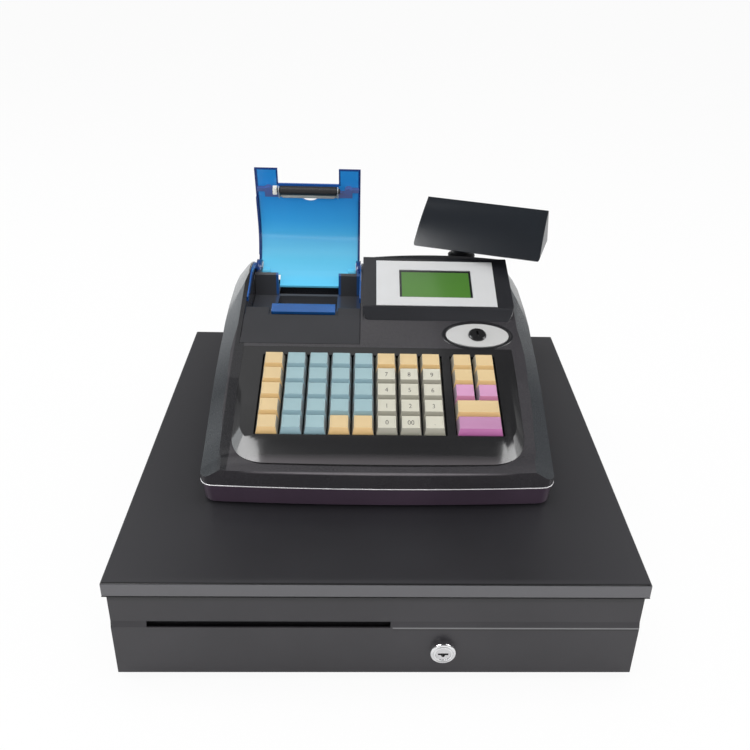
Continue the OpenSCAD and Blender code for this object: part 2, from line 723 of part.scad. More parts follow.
module switch_plate() {
    color("#3c4046") at_case() on_slope(first_row) difference() {
        block([-117, -11, -plate_depth - 1.6], [117, last_row + 11, -plate_depth - seat]);
        for (k = [0 : 47]) translate(key_place(k)) block(
            [-stem_w / 2 - 0.2, -stem_w / 2 - 0.2, -20], [stem_w / 2 + 0.2, stem_w / 2 + 0.2, 5]);
    }
}

module circuit_board() {
    z = case_foot + wall + 6.5;
    color("#1f5a34") at_case() {
        // The board's left half stops in front of the printer
        block([-103, 66, z], [103, 146, z + 1.6]);
        block([-12, 140, z], [103, 254, z + 1.6]);
        block([-60, 110, z + 1.6], [-34, 136, z + 4]);
        block([20, 170, z + 1.6], [44, 184, z + 5]);
        block([60, 90, z + 1.6], [84, 124, z + 15]);
        for (i = [0 : 3]) translate([16 + 13 * i, 232, z + 1.6]) cylinder(d = 8, h = 12);
    }
}

module power_inlet() {
    color("#101012") at_case() difference() {
        union() {
            block([60.2, case_d - 20, 28.2], [87.8, case_d + 0.3, 47.8]);
            block([57, case_d, 25], [91, case_d + 2, 51]);
        }
        block([63, case_d - 14, 31], [85, case_d + 5, 45]);
    }
}

// ---------------------------------------------------------------- keys
// Place of key k on the slope: 0 to 39 fill the main block by rows from the front, 40 to 47 the right
function key_place(k) = k < 40 ? [first_col + (k % 8) * pitch_x, floor(k / 8) * pitch_y, 0]
    : k < 42 ? [right_x + pitch_x / 2, (k - 40) * pitch_y, 0]
    : [right_x + ((k - 42) % 2) * pitch_x, (2 + floor((k - 42) / 2)) * pitch_y, 0];

// A sculpted key: a four-sided cap with a hollowed top, on a square stem
module key(k) {
    extra = k >= 40 && k < 42 ? pitch_x : 0;
    b = (key_w + extra) / 2;
    t = b - 1.9;
    at_case() on_slope(first_row) translate(key_place(k)) {
        difference() {
            intersection() {
                translate([0, key_l, 0]) rotate([90, 0, 0]) linear_extrude(2 * key_l) polygon([
                    [-b, -cap_low], [b, -cap_low], [b, -cap_low + 1], [t, key_h], [-t, key_h], [-b, -cap_low + 1]]);
                rotate([90, 0, 90]) translate([0, 0, -b]) linear_extrude(2 * b) polygon([
                    [-key_l / 2, -cap_low], [key_l / 2, -cap_low], [key_l / 2, -cap_low + 1],
                    [key_l / 2 - 1.7, key_h], [-key_l / 2 + 3.2, key_h - 0.3], [-key_l / 2, -cap_low + 3]]);
            }
            translate([0, 0.7, key_h + 39.5]) rotate([0, 90, 0]) cylinder(r = 40, h = 2 * t - 2.4, center = true, $fn = 96);
        }
        block([-stem_w / 2, -stem_w / 2, -cap_low - 8.6], [stem_w / 2, stem_w / 2, -cap_low + 1]);
    }
}

cream = "#f0d79b";
blue = "#93c4d2";
beige = "#d8d6c6";
pink = "#dd96df";
module keys(list, tone) color(tone) for (k = list) key(k);

// ---------------------------------------------------------------- printer
// The cover plate, with lowered seats behind it for the door's two prongs and for the tear bar
module printer_cover() {
    x0 = bay_x0 + 0.4;
    x1 = bay_x1 - 0.4;
    l0 = (cover_v0 + 0.4) / cos(slope);
    l1 = (door_tip - gap) / cos(slope);
    l2 = seat_v / cos(slope);
    low = -door_t - gap;
    color("#343439") at_case() on_slope(0) {
        block([x0, l0, -wall], [x1, l1, 0]);
        block([x0, l1 - 2.4, low - 2.2], [x1, l1, -1]);
        for (x = [[x0, bin_x0 - 2.5], [bin_x1 + 2.5, x1]]) block([x[0], l1 - 2, low - 1.8], [x[1], l2, low]);
        block([bin_x0 - 3, l1 - 2, -5.2], [bin_x1 + 3, l2 - 4, -3.5]);
    }
}

module tear_bar() {
    s0 = strip_v0 / cos(slope);
    s1 = strip_v1 / cos(slope);
    color("#2a6fc4") at_case() on_slope(0) side(bin_x0 - 0.2, bin_x1 + 0.2) polygon([
        [s0 + gap, -3.4], [s0 + gap, 0], [s1 - 1, 0.4], [s1, -0.2], [s1 - 0.6, -1.8], [s0 + 4, -3.4]]);
}

module print_head() {
    s = platen_v / cos(slope) - platen_dia / 2 - gap;
    h = platen_drop;
    color("#7d838a") at_case() {
        on_slope(0) {
            // Head plate and its heat sink, just in front of the platen
            block([roll_x - paper_w / 2, s - 2.6, -h - 12], [roll_x + paper_w / 2, s, -4]);
            block([roll_x - paper_w / 2 + 4, s - 9, -h - 12], [roll_x + paper_w / 2 - 4, s - 2.6, -8]);
            // Mechanism's frame
            block([roll_x - 40, s - 42, -h - 22], [roll_x + 40, s, -h - 12]);
            // Paper motor
            translate([0, s - 28, -h - 5]) bar_x(18, roll_x - 38, roll_x - 10);
        }
        // Legs down to the lower case's floor
        for (x = [roll_x - 38, roll_x + 32]) block([x, 152, case_foot + wall], [x + 6, 182, plane_w(152) - h - 20]);
    }
}

module paper_bin() {
    r = roll_dia / 2 + 2;
    x0 = bay_x0 + 0.4;
    x1 = bay_x1 - 0.4;
    v0 = cover_v1 + 3;
    v1 = case_d - wall - 0.5;
    color("#232327") at_case() {
        difference() {
            union() {
                difference() {
                    block([x0, v0, shelf_w - 2.5], [x1, v1 - 5, shelf_w]);
                    // Room for the door's tail
                    block([bin_x0 - 0.9, tower_v + 4, 50], [bin_x1 + 0.9, case_d, shelf_w + 1]);
                }
                // Trough for the paper roll
                intersection() {
                    translate([0, trough_v, trough_w]) bar_x(2 * r + 4, bin_x0 - 2, bin_x1 + 2);
                    block([bin_x0 - 2, v0, trough_w - r - 3], [bin_x1 + 2, v1 - 5, shelf_w]);
                }
            }
            translate([0, trough_v, trough_w]) bar_x(2 * r, bin_x0, bin_x1);
        }
        // Towers that carry the door's hinge pins
        tower(x0, bin_x0 - 1, x0 + 2.4);
        tower(bin_x1 + 1, x1, x1 - 5.5);
        // Legs down to the lower case's floor
        for (x = [x0 + 2, x1 - 8]) for (v = [v0 + 2, v1 - 14])
            block([x, v, case_foot + wall], [x + 6, v + 6, shelf_w - 2]);
    }
}

module tower(x0, x1, xc) {
    side(x0, x1) polygon([[tower_v, shelf_w - 1], [tower_v, tower_w - 2], [tower_v + 2, tower_w],
        [tower_v + 4, tower_w - 1], [tower_v + 4, shelf_w - 1]]);
    difference() {
        union() {
            side(xc, xc + 3.1) polygon([[tower_v, shelf_w - 1], [tower_v, tower_w - 2], [tower_v + 2, tower_w],
                [hinge_v + 1, hinge_w + 4.2], [hinge_v + 4, shelf_w - 1]]);
            translate([0, hinge_v, hinge_w]) bar_x(8.4, xc, xc + 3.1);
        }
        translate([0, hinge_v, hinge_w]) bar_x(pin_dia + 2 * fit, xc - 1, xc + 7);
    }
}

module bay_trim() {
    inset = door_t + 1.2;
    color("#2f7fd6") at_case() for (x = [bay_x0 + 0.1, bay_x1 - 1.4]) intersection() {
        side(x, x + 1.3) polygon(concat(profile(0.6, cover_v1 + 2, 50),
            [for (p = profile(inset + 3, cover_v1 + 2, 50)) [-p[0], -p[1]]] == [] ? [] : reversed(profile(inset + 3, cover_v1 + 2, 50))));
        block([x, cover_v1 + 2, 60], [x + 1.3, case_d, 130]);
    }
}
function reversed(p) = [for (i = [len(p) - 1 : -1 : 0]) p[i]];

// Turns a child, drawn with the door closed, to the open door's place
module opened() {
    at_case() translate([0, hinge_v, hinge_w]) rotate([-door_open, 0, 0])
        translate([0, -hinge_v, -hinge_w]) children();
}

module paper_door() {
    dx0 = bay_x0 + 1.8;
    dx1 = bay_x1 - 1.9;
    color("#3a9be6") opened() {
        difference() {
            union() {
                side(dx0, dx1) polygon(concat(profile(0, door_tip, door_tail), reversed(profile(door_t, door_tip, door_tail))));
                // Side walls
                for (x = [dx0, dx1 - 1.8]) side(x, x + 1.8)
                    polygon(concat(profile(1, cover_v1 + 8, 62), reversed(profile(door_t + 4.5, cover_v1 + 8, 62))));
                // Knuckles with their pins
                for (s = [0, 1]) {
                    xk = s == 0 ? bay_x0 + 6.4 : bay_x1 - 14.4;
                    xp = s == 0 ? bay_x0 + 2.9 : bay_x1 - 6.6;
                    translate([0, hinge_v, hinge_w]) {
                        bar_x(7, xk, xk + 8);
                        bar_x(pin_dia, xp, xp + 3.7);
                    }
                }
            }
            // Notch round the tear bar
            block([bin_x0 - 0.6, door_tip - 5, 60], [bin_x1 + 0.6, notch_v, 130]);
            // Skirt cut back at the towers
            for (x = [[bay_x0 - 1, bay_x0 + 6.1], [bay_x1 - 6.1, bay_x1 + 1]]) difference() {
                translate([0, hinge_v, hinge_w]) bar_x(26, x[0], x[1]);
                translate([0, hinge_v, hinge_w]) bar_x(pin_dia, x[0] - 1, x[1] + 1);
            }
            for (x = [[bay_x0 - 1, bin_x0 - 0.6], [bin_x1 + 0.6, bay_x1 + 1]]) difference() {
                block([x[0], hinge_v + 1, 40], [x[1], case_d + 9, hinge_w + 1]);
                translate([0, hinge_v, hinge_w]) bar_x(7, x[0] - 1, x[1] + 1);
            }
            // Finger hole
            intersection() {
                translate([roll_x + 1, platen_v + 4.4, 40]) cylinder(r = 12.3, h = 100);
                block([roll_x - 20, platen_v + 12, 40], [roll_x + 20, platen_v + 20, 140]);
            }
        }
    }
}

// Blue mounts moulded under the door: a screw boss on each side, a rib to the door's wall and a plate
module platen_bracket() {
    s = platen_v / cos(slope);
    color("#22409a") opened() on_slope(0) for (k = [-1, 1]) {
        x = roll_x + k * (paper_w / 2 + 12);
        wall_x = k < 0 ? bay_x0 + 3.6 : bay_x1 - 3.7;
        translate([x, s + 1.5, -door_t - 6]) cylinder(d = 8, h = 6);
        block([min(x, wall_x), s - 0.5, -door_t - 4], [max(x, wall_x), s + 3.5, -door_t]);
        block([x - (k < 0 ? 4 : 15), s + 3.5, -door_t - 3], [x + (k < 0 ? 15 : 4), s + 10.5, -door_t]);
    }
}

// Sheet-steel yoke on those mounts: a folded web, and an arm at each end with the roller's bearing
module platen_yoke() {
    s = platen_v / cos(slope);
    low = -door_t - 3;
    hw = paper_w / 2 + 1.6;
    color("#9a9ca0") opened() on_slope(0) {
        side(roll_x - hw, roll_x + hw) polygon([[s + 5.5, low - 1], [s + 10, low - 1], [s + 10, low], [s + 5.5, low]]);
        side(roll_x - hw + 4, roll_x + hw - 4) polygon([[s + 5.5, low], [s + 6.4, low], [s + 6.4, low - 5], [s + 5.5, low - 5]]);
        for (x = [roll_x - hw, roll_x + hw - 1]) difference() {
            side(x, x + 1) polygon([[s + 10, low], [s + 10, low - 3], [s + 3, -platen_drop - 4], [s - 3, -platen_drop - 4],
                [s - 4.5, -platen_drop - 2.5], [s - 4.5, -platen_drop + 1], [s - 2, low - 0.6], [s + 5, low - 0.6],
                [s + 5.5, low]]);
            translate([0, s, -platen_drop]) bar_x(shaft_dia + 2 * fit, x - 1, x + 2);
        }
    }
}

module platen_roller() {
    s = platen_v / cos(slope);
    color("#1d1d1f") opened() on_slope(0) translate([0, s, -platen_drop]) {
        bar_x(platen_dia, roll_x - paper_w / 2 + gap, roll_x + paper_w / 2 - gap);
        bar_x(shaft_dia, roll_x - paper_w / 2 - 6, roll_x + paper_w / 2 + 3.5);
    }
}

module platen_gear() {
    s = platen_v / cos(slope);
    teeth = 16;
    r = 4.6;
    x = roll_x - paper_w / 2 - 7;
    color("#f2f2ee") opened() on_slope(0) translate([x, s, -platen_drop]) rotate([0, 90, 0]) difference() {
        linear_extrude(4) polygon([for (i = [0 : 4 * teeth - 1])
            let (a = i * 90 / teeth, q = i % 4 < 2 ? r : r - 1.3) [q * cos(a), q * sin(a)]]);
        translate([0, 0, 1]) cylinder(d = shaft_dia, h = 4);
    }
}

// ---------------------------------------------------------------- displays
// Side profile of the display's housing over the case, moved in by t
function pod_top(t) = concat(
    [[pod_v0 + t * 0.6, plane_w(pod_v0)], [pod_v1 - 1 + t * 0.6, pod_w(pod_v1) - 1.4 - t],
        [pod_v1 + 0.6 + t * 0.4, pod_w(pod_v1) - t]],
    [for (a = [90 + pod_slope : -7 : 90 - pod_fall]) [pod_back_v + (pod_r - t) * cos(a), pod_back_w + (pod_r - t) * sin(a)]],
    [for (v = [case_d - 19 - t, case_d - 15 - t]) [v, fall(v) - t / cos(pod_fall) - (v > case_d - 16 - t ? 1 : 0)]],
    [[case_d - 13.5 - t, 80]]
);
// Height of the housing's falling back
function fall(v) = fall_w - (v - fall_v) * tan(pod_fall);

module display_housing() {
    color("#2c2c30") at_case() difference() {
        union() {
            intersection() {
                side(pod_x0, pod_x1) polygon(concat(pod_top(0), [[case_d - 13, 70], [pod_v0, 60]]));
                // Rounded corners in plan
                linear_extrude(160) polygon(concat(
                    [for (a = [180 : 15 : 270]) [pod_x0 + 9 + 9 * cos(a), pod_v0 - 1 + 9 + 9 * sin(a)]],
                    [for (a = [270 : 15 : 360]) [pod_x1 - 12 + 12 * cos(a), pod_v0 - 1 + 12 + 12 * sin(a)]],
                    [[pod_x1 - 2, case_d], [pod_x0, case_d]]));
            }
            // Low arch down the back, and the turntable's boss
            translate([0, fall_v, fall_w]) rotate([90 - pod_fall, 0, 0]) translate([0, 0, -38]) linear_extrude(38)
                polygon(concat([for (i = [0 : 16]) let (f = i / 8 - 1) [59 + 66 * f, 3 * (1 - f ^ 2) - 0.2]],
                    [[125, -3], [-7, -3]]));
            translate([neck_x, neck_v, 100]) cylinder(d = neck_dia + 9, h = dome_w - 100);
        }
        // Clear of the case's top and back
        side(pod_x0 - 1, pod_x1 + 1) polygon(concat(profile(-seat, pod_v0 - 20, 0), [[case_d + seat, 0], [pod_v0 - 20, 0]]));
        // Inside
        side(pod_x0 + wall, pod_x1 - wall) polygon(concat(
            [[pod_v0 + 14, 50], [pod_v0 + 14, pod_w(pod_v1) - 4]],
            [[pod_v1 + 8, pod_w(pod_v1 + 8) - 6]],
            [[pod_v2 - 3, pod_w(pod_v2 - 3) - 6], [neck_v - neck_dia / 2 - 5, pod_w(pod_v2) - 9],
                [neck_v - neck_dia / 2 - 5, 50]]));
        // Opening for the display
        on_pod(bezel_v) {
            block([bezel_x - bezel_w / 2 - 0.4, -0.4, -1.4], [bezel_x + bezel_w / 2 + 0.4, bezel_l + 0.4, 5]);
            block([bezel_x - glass_w / 2 - 5, 9, -15], [bezel_x + glass_w / 2 + 5, 9 + glass_l + 6, 5]);
        }
        // Bore for the neck's spigot, and the turntable's seat
        translate([neck_x, neck_v, 90]) cylinder(r = 6 + fit, h = 60);
        translate([neck_x, neck_v, dome_w]) cylinder(d = neck_dia + 9, h = 20);
    }
}

module display_bezel() {
    color("#cfd0cf") at_case() on_pod(bezel_v) difference() {
        block([bezel_x - bezel_w / 2, 0, -1.3], [bezel_x + bezel_w / 2, bezel_l, 0.3]);
        block([bezel_x - glass_w / 2, 12, -3], [bezel_x + glass_w / 2, 12 + glass_l, 3]);
    }
}

module display_glass() {
    color("#4f8a34") at_case() on_pod(bezel_v) {
        block([bezel_x - glass_w / 2 + 0.2, 12.2, -2], [bezel_x + glass_w / 2 - 0.2, 11.8 + glass_l, -0.6]);
        block([bezel_x - glass_w / 2 - 4, 10, -5], [bezel_x + glass_w / 2 + 4, 14 + glass_l, -2]);
    }
}

module mode_plate() {
    color("#c9cac8") at_case() on_slope(mode_v) translate([mode_x, 0, -1.1]) difference() {
        ellipse(mode_w, mode_l, 1.6);
        translate([0, 0, -1]) cylinder(d = mode_dia + 2 * fit, h = 4);
    }
}

module mode_lock() {
    color("#0e0e10") at_case() on_slope(mode_v) translate([mode_x, 0, 0]) difference() {
        union() {
            translate([0, 0, -14]) cylinder(d = mode_dia, h = 15.6);
            translate([0, 0, 1.5]) cylinder(d1 = mode_dia, d2 = mode_dia - 2, h = 1);
        }
        translate([-1, -4, 0]) cube([2, 8, 4]);
    }
}

// The customer display: x runs along its head, y towards the customer, from the neck's middle
module at_head() at_case() translate([neck_x, neck_v, 0]) rotate([0, 0, -head_turn]) children();

module display_neck() {
    r = neck_dia / 2;
    color("#1b1b1e") at_head() {
        translate([0, 0, dome_w - 9]) cylinder(r = 6, h = 11);
        rotate_extrude() polygon([[0, dome_w + seat], [r + 3, dome_w + seat], [r + 3, dome_w + 1.2],
            [r, dome_w + 2.4], [r, head_low], [0, head_low]]);
    }
}

// Side outline of the head, moved in by t: a bulging back towards the operator, the window's side upright
function head_outline(t) = let (y1 = head_front + head_d) concat(
    [[head_front + 2 * t, head_low + 1.2 + t * 0.3]],
    [for (f = [0.15 : 0.14 : 0.99]) [
        lerp(head_front, y1 - 9, f) - (1.6 * sin(180 * f) + 0) + t * 0.6,
        head_low + lerp(1.2, head_h - 1, f) + 2.4 * sin(180 * f) - t * 0.8]],
    [[y1 - 8 + t * 0.3, head_low + head_h - t], [y1 - 5 - t, head_low + head_h - 1.5 - t], [y1 - t, head_low + 3],
        [y1 - 2 - t, head_low + t], [head_front + 2 + 2 * t, head_low + t]]
);

module display_head() {
    x0 = head_mid - head_w / 2;
    x1 = head_mid + head_w / 2;
    y1 = head_front + head_d;
    color("#22262c") at_head() difference() {
        intersection() {
            side(x0, x1) polygon(head_outline(0));
            // Rounded ends
            translate([0, y1 + 1, head_low]) rotate([90, 0, 0]) linear_extrude(head_d + 2) polygon(concat(
                [for (a = [180 : 15 : 270]) [x0 + 4 + 4 * cos(a), 4 + 4 * sin(a)]],
                [for (a = [270 : 15 : 360]) [x1 - 4 + 4 * cos(a), 4 + 4 * sin(a)]],
                [[x1 - 1.5, head_h + 1], [x0 + 1.5, head_h + 1]]));
        }
        side(x0 + wall, x1 - wall) polygon(head_outline(wall));
        // Window on the customer's side
        block([x0 + 8, y1 - 12, head_low + 7], [x1 - 8, y1 + 5, head_low + head_h - 7]);
    }
}

module display_window() {
    x0 = head_mid - head_w / 2 + 8 + seat;
    z0 = head_low + 7 + seat;
    z1 = head_low + head_h - 7 - seat;
    y1 = head_front + head_d - 0.3;
    color("#3a1010") at_head() {
        side(x0, x0 + head_w - 16 - 2 * seat) polygon([[head_back(z0), z0], [head_back(z1), z1],
            [head_back(z1) - 1.6, z1], [head_back(z0) - 1.6, z0]]);
        // Flange behind the opening, against the shell's inside
        side(x0 - 3, x0 + head_w - 13 - 2 * seat) polygon([
            [head_back(z0 - 3) - wall - 0.5, z0 - 3], [head_back(z1 + 3) - wall - 0.5, z1 + 3],
            [head_back(z1 + 3) - wall - 1.7, z1 + 3], [head_back(z0 - 3) - wall - 1.7, z0 - 3]]);
        side(x0 + 2, x0 + head_w - 18 - 2 * seat) polygon([
            [head_back(z0) - 1, z0 + 2], [head_back(z1) - 1, z1 - 2],
            [head_back(z1) - wall - 1, z1 - 2], [head_back(z0) - wall - 1, z0 + 2]]);
    }
}
// The place of the head's upright side at height z
function head_back(z) = head_front + head_d - 5 * (z - head_low - 3) / (head_h - 4.5) - 0.2;

drawer_housing();
drawer_lid();
rubber_feet();
slide_outer();
slide_middle();
slide_inner();
drawer_tray();
drawer_front();
cash_insert();
coin_cups();
note_dividers();
clip_rod();
bill_clips();
lock_body();
lock_plug();
release_solenoid();
latch_lever();
lower_case();
upper_case();
key_deck();
switch_plate();
circuit_board();
power_inlet();
printer_cover();
tear_bar();
print_head();
paper_bin();
bay_trim();
paper_door();
platen_bracket();
platen_yoke();
platen_roller();
platen_gear();
display_housing();
display_bezel();
display_glass();
mode_plate();
mode_lock();
display_neck();
display_head();
display_window();
keys([5], beige);  // key_0
keys([6], beige);  // key_00
keys([7], beige);  // key_point
keys([13], beige);  // key_1
keys([14], beige);  // key_2
keys([15], beige);  // key_3
keys([21], beige);  // key_4
keys([22], beige);  // key_5
keys([23], beige);  // key_6
keys([29], beige);  // key_7
keys([30], beige);  // key_8
keys([31], beige);  // key_9
keys([41], cream);  // key_total
keys([40], pink);  // key_cash
keys([42, 43], pink);  // keys_right_low
keys([44, 45, 46, 47], cream);  // keys_right_upper
keys([0, 8, 16, 24, 32, 37, 38, 39], cream);  // keys_function
keys([1, 9, 17, 25, 33, 2, 10, 18, 26, 34], blue);  // keys_blue_a
keys([3, 11, 19, 27, 35, 4, 12, 20, 28, 36], blue);  // keys_blue_b
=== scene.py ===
import math

import bmesh
import bpy
from mathutils import Matrix, Vector
from mathutils.geometry import convex_hull_2d


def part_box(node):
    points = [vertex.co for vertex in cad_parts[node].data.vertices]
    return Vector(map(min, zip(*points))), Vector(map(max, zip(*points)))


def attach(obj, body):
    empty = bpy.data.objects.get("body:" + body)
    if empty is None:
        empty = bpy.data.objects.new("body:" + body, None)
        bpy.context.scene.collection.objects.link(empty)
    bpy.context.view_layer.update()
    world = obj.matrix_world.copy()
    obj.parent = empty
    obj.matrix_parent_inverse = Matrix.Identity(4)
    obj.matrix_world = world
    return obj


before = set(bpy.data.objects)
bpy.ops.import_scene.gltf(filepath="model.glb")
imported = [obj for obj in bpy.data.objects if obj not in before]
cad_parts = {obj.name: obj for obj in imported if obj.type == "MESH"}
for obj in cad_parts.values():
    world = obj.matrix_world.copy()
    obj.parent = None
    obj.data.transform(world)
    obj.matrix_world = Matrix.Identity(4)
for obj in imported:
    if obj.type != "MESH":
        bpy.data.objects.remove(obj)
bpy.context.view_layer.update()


# ---------------------------------------------------------------- studio
# The register stands on white paper between tall softboxes. The walls round it are bright low down
# and dark overhead, which gives the dark mouldings their gradients. The camera looks down on it.
picture_width = 750
focal_length, centre_across, centre_down = 870.2, 394.7, 363.4
camera_place = (-0.0153, -0.69235, 0.5512)
turn, tip, roll = math.radians(2.4747), math.radians(28.4685), math.radians(1.9617)
ahead = Vector((math.sin(turn) * math.cos(tip), math.cos(turn) * math.cos(tip), -math.sin(tip)))
level = Vector((math.cos(turn), -math.sin(turn), 0))
upward = level.cross(ahead)
right = math.cos(roll) * level + math.sin(roll) * upward
above = -math.sin(roll) * level + math.cos(roll) * upward
lens = bpy.data.cameras.new("camera")
lens.sensor_width = 36
lens.lens = focal_length / picture_width * 36
lens.shift_x = (picture_width / 2 - centre_across) / picture_width
lens.shift_y = (centre_down - picture_width / 2) / picture_width
lens.clip_start = 0.01
camera = bpy.data.objects.new("camera", lens)
camera.matrix_world = Matrix.Translation(camera_place) @ Matrix(
    (right, above, -ahead)).transposed().to_4x4()
bpy.context.scene.collection.objects.link(camera)
bpy.context.scene.camera = camera
bpy.context.scene.view_settings.view_transform = "Standard"


def softbox(name, place, target, size, power, tone=(1, 1, 1), mirrored=True, lighting=True):
    """An area light aimed at a point; it may be left out of reflections, or show only in them."""
    light = bpy.data.lights.new(name, "AREA")
    light.shape = "RECTANGLE"
    light.size, light.size_y = size
    light.energy = power
    light.color = tone
    box = bpy.data.objects.new(name, light)
    box.location = place
    box.rotation_euler = (Vector(target) - Vector(place)).to_track_quat("-Z", "Y").to_euler()
    box.visible_glossy = mirrored
    box.visible_diffuse = lighting
    bpy.context.scene.collection.objects.link(box)


softbox("light_overhead", place=(0, -0.1, 2.1), target=(0, 0, 0.1), size=(1.5, 1.0), power=17,
        mirrored=False)
softbox("light_left", place=(-1.9, 0.3, 0.8), target=(0, 0, 0.15), size=(0.8, 1.5), power=13,
        tone=(0.94, 0.98, 1))
softbox("light_right", place=(1.8, -0.1, 0.9), target=(0, 0, 0.15), size=(0.7, 1.4), power=9)
softbox("light_front", place=(0, -2.0, 1.3), target=(0, 0, 0.12), size=(2.0, 0.7), power=17,
        mirrored=False)
softbox("strip_left", place=(-0.82, -0.14, 1.3), target=(0, -0.1, 0.14), size=(0.6, 0.9), power=15,
        lighting=False)
softbox("strip_right", place=(0.9, -0.03, 1.24), target=(0, -0.1, 0.14), size=(0.5, 0.7), power=8.5,
        lighting=False)
softbox("strip_back", place=(-0.35, 0.95, 1.9), target=(0, 0, 0.15), size=(1.2, 0.5), power=1.3,
        lighting=False)


def node(tree, kind, **values):
    """Adds a shader or geometry node; a value named after a socket sets it or links to it."""
    made = tree.nodes.new(kind)
    for name, value in values.items():
        if name.startswith("in_"):
            key = name[3:]
            socket = made.inputs[int(key)] if key.isdigit() else made.inputs[key.replace("_", " ")]
            if isinstance(value, bpy.types.NodeSocket):
                tree.links.new(value, socket)
            else:
                socket.default_value = value
        else:
            setattr(made, name, value)
    return made


floor_half = 6
sheet = bpy.data.meshes.new("floor")
sheet.from_pydata([(-floor_half, -floor_half, 0), (floor_half, -floor_half, 0),
                   (floor_half, floor_half, 0), (-floor_half, floor_half, 0)], [], [(0, 1, 2, 3)])
floor = bpy.data.objects.new("floor", sheet)
bpy.context.scene.collection.objects.link(floor)
floor_paper = bpy.data.materials.new("floor_paper")
floor_paper.use_nodes = True
tree = floor_paper.node_tree
matte = tree.nodes["Principled BSDF"]
matte.inputs["Base Color"].default_value = (0.8, 0.8, 0.8, 1)
matte.inputs["Roughness"].default_value = 0.9
matte.inputs["Specular IOR Level"].default_value = 0.1
ray = node(tree, "ShaderNodeLightPath")
white = node(tree, "ShaderNodeEmission", in_Color=(1, 1, 1, 1), in_Strength=1.0)
share = node(tree, "ShaderNodeMath", operation="MULTIPLY", in_0=ray.outputs["Is Camera Ray"],
             in_1=0.93)
paper_look = node(tree, "ShaderNodeMixShader", in_0=share.outputs[0], in_1=matte.outputs[0],
                  in_2=white.outputs[0])
tree.links.new(paper_look.outputs[0], tree.nodes["Material Output"].inputs["Surface"])
sheet.materials.append(floor_paper)

walls = bpy.data.worlds.new("world")
walls.use_nodes = True
bpy.context.scene.world = walls
tree = walls.node_tree
background = tree.nodes["Background"]
ray = node(tree, "ShaderNodeLightPath")
outward = node(tree, "ShaderNodeTexCoord")
way = node(tree, "ShaderNodeSeparateXYZ", in_0=outward.outputs["Generated"])
wall_tone = node(tree, "ShaderNodeMapRange", interpolation_type="SMOOTHSTEP",
                 in_Value=way.outputs["Z"], in_From_Min=0.02, in_From_Max=0.75,
                 in_To_Min=0.50, in_To_Max=0.10)
unseen_tone = node(tree, "ShaderNodeMix", data_type="FLOAT",
                   in_Factor=ray.outputs["Is Glossy Ray"], in_A=0.60,
                   in_B=wall_tone.outputs["Result"])
room_tone = node(tree, "ShaderNodeMix", data_type="FLOAT", in_Factor=ray.outputs["Is Camera Ray"],
                 in_A=unseen_tone.outputs["Result"], in_B=1.0)
tree.links.new(room_tone.outputs["Result"], background.inputs["Strength"])
background.inputs["Color"].default_value = (1, 1, 1, 1)


# ---------------------------------------------------------------- drawer cabinet
# A folded sheet-steel housing under a separate steel cover, both in fine-grained charcoal powder
# coat. The cover is painted lighter towards its folds and on its front skirt, with painted shade
# along the front fold and at the skirt's foot. Zinc-plated slides and a latch sit inside.
to_left, to_right, to_front, to_top = (-1, 0, 0), (1, 0, 0), (0, -1, 0), (0, 0, 1)


def finish(name, colour, rough, spread=0.12, grain=900, bump=0.02, patch=14, metal=0.0, coat=0.0,
           edge_glint=0.0, spec=0.5, stretch=(1, 1, 1), glow=0.0):
    """A painted or moulded surface: colour that drifts a little, fine grain in gloss and relief."""
    made = bpy.data.materials.new(name)
    made.use_nodes = True
    tree = made.node_tree
    bsdf = tree.nodes["Principled BSDF"]
    where = node(tree, "ShaderNodeTexCoord")
    scaled = node(tree, "ShaderNodeMapping", in_Vector=where.outputs["Object"], in_Scale=stretch)
    drift = node(tree, "ShaderNodeTexNoise", in_Vector=scaled.outputs[0], in_Scale=patch,
                 in_Detail=4)
    ramp = node(tree, "ShaderNodeValToRGB", in_Fac=drift.outputs["Fac"])
    darker, lighter = ramp.color_ramp.elements
    darker.position = 0.3
    lighter.position = 0.7
    darker.color = (*[c * (1 - spread) for c in colour], 1)
    lighter.color = (*[min(1, c * (1 + spread)) for c in colour], 1)
    tree.links.new(ramp.outputs["Color"], bsdf.inputs["Base Color"])
    # A painted highlight on sharp edges: the colour is lightened where the surface bends most.
    if edge_glint:
        bend = node(tree, "ShaderNodeNewGeometry")
        edge_glint_amount = node(tree, "ShaderNodeMapRange", in_Value=bend.outputs["Pointiness"],
                      in_From_Min=0.52, in_From_Max=0.62, in_To_Max=edge_glint)
        tint(made, edge_glint_amount.outputs["Result"], [min(1, c * 2.4 + 0.03) for c in colour])
    fine = node(tree, "ShaderNodeTexNoise", in_Vector=scaled.outputs[0], in_Scale=grain,
                in_Detail=3)
    gloss = node(tree, "ShaderNodeMapRange", in_Value=fine.outputs["Fac"],
                 in_To_Min=max(0.02, rough * 0.85), in_To_Max=min(1, rough * 1.15))
    tree.links.new(gloss.outputs["Result"], bsdf.inputs["Roughness"])
    relief = node(tree, "ShaderNodeBump", in_Strength=bump, in_Distance=0.0005,
                  in_Height=fine.outputs["Fac"])
    tree.links.new(relief.outputs["Normal"], bsdf.inputs["Normal"])
    bsdf.inputs["Metallic"].default_value = metal
    bsdf.inputs["Specular IOR Level"].default_value = spec
    bsdf.inputs["Coat Weight"].default_value = coat
    bsdf.inputs["Coat Roughness"].default_value = 0.08
    if glow:
        bsdf.inputs["Emission Strength"].default_value = glow
    return made


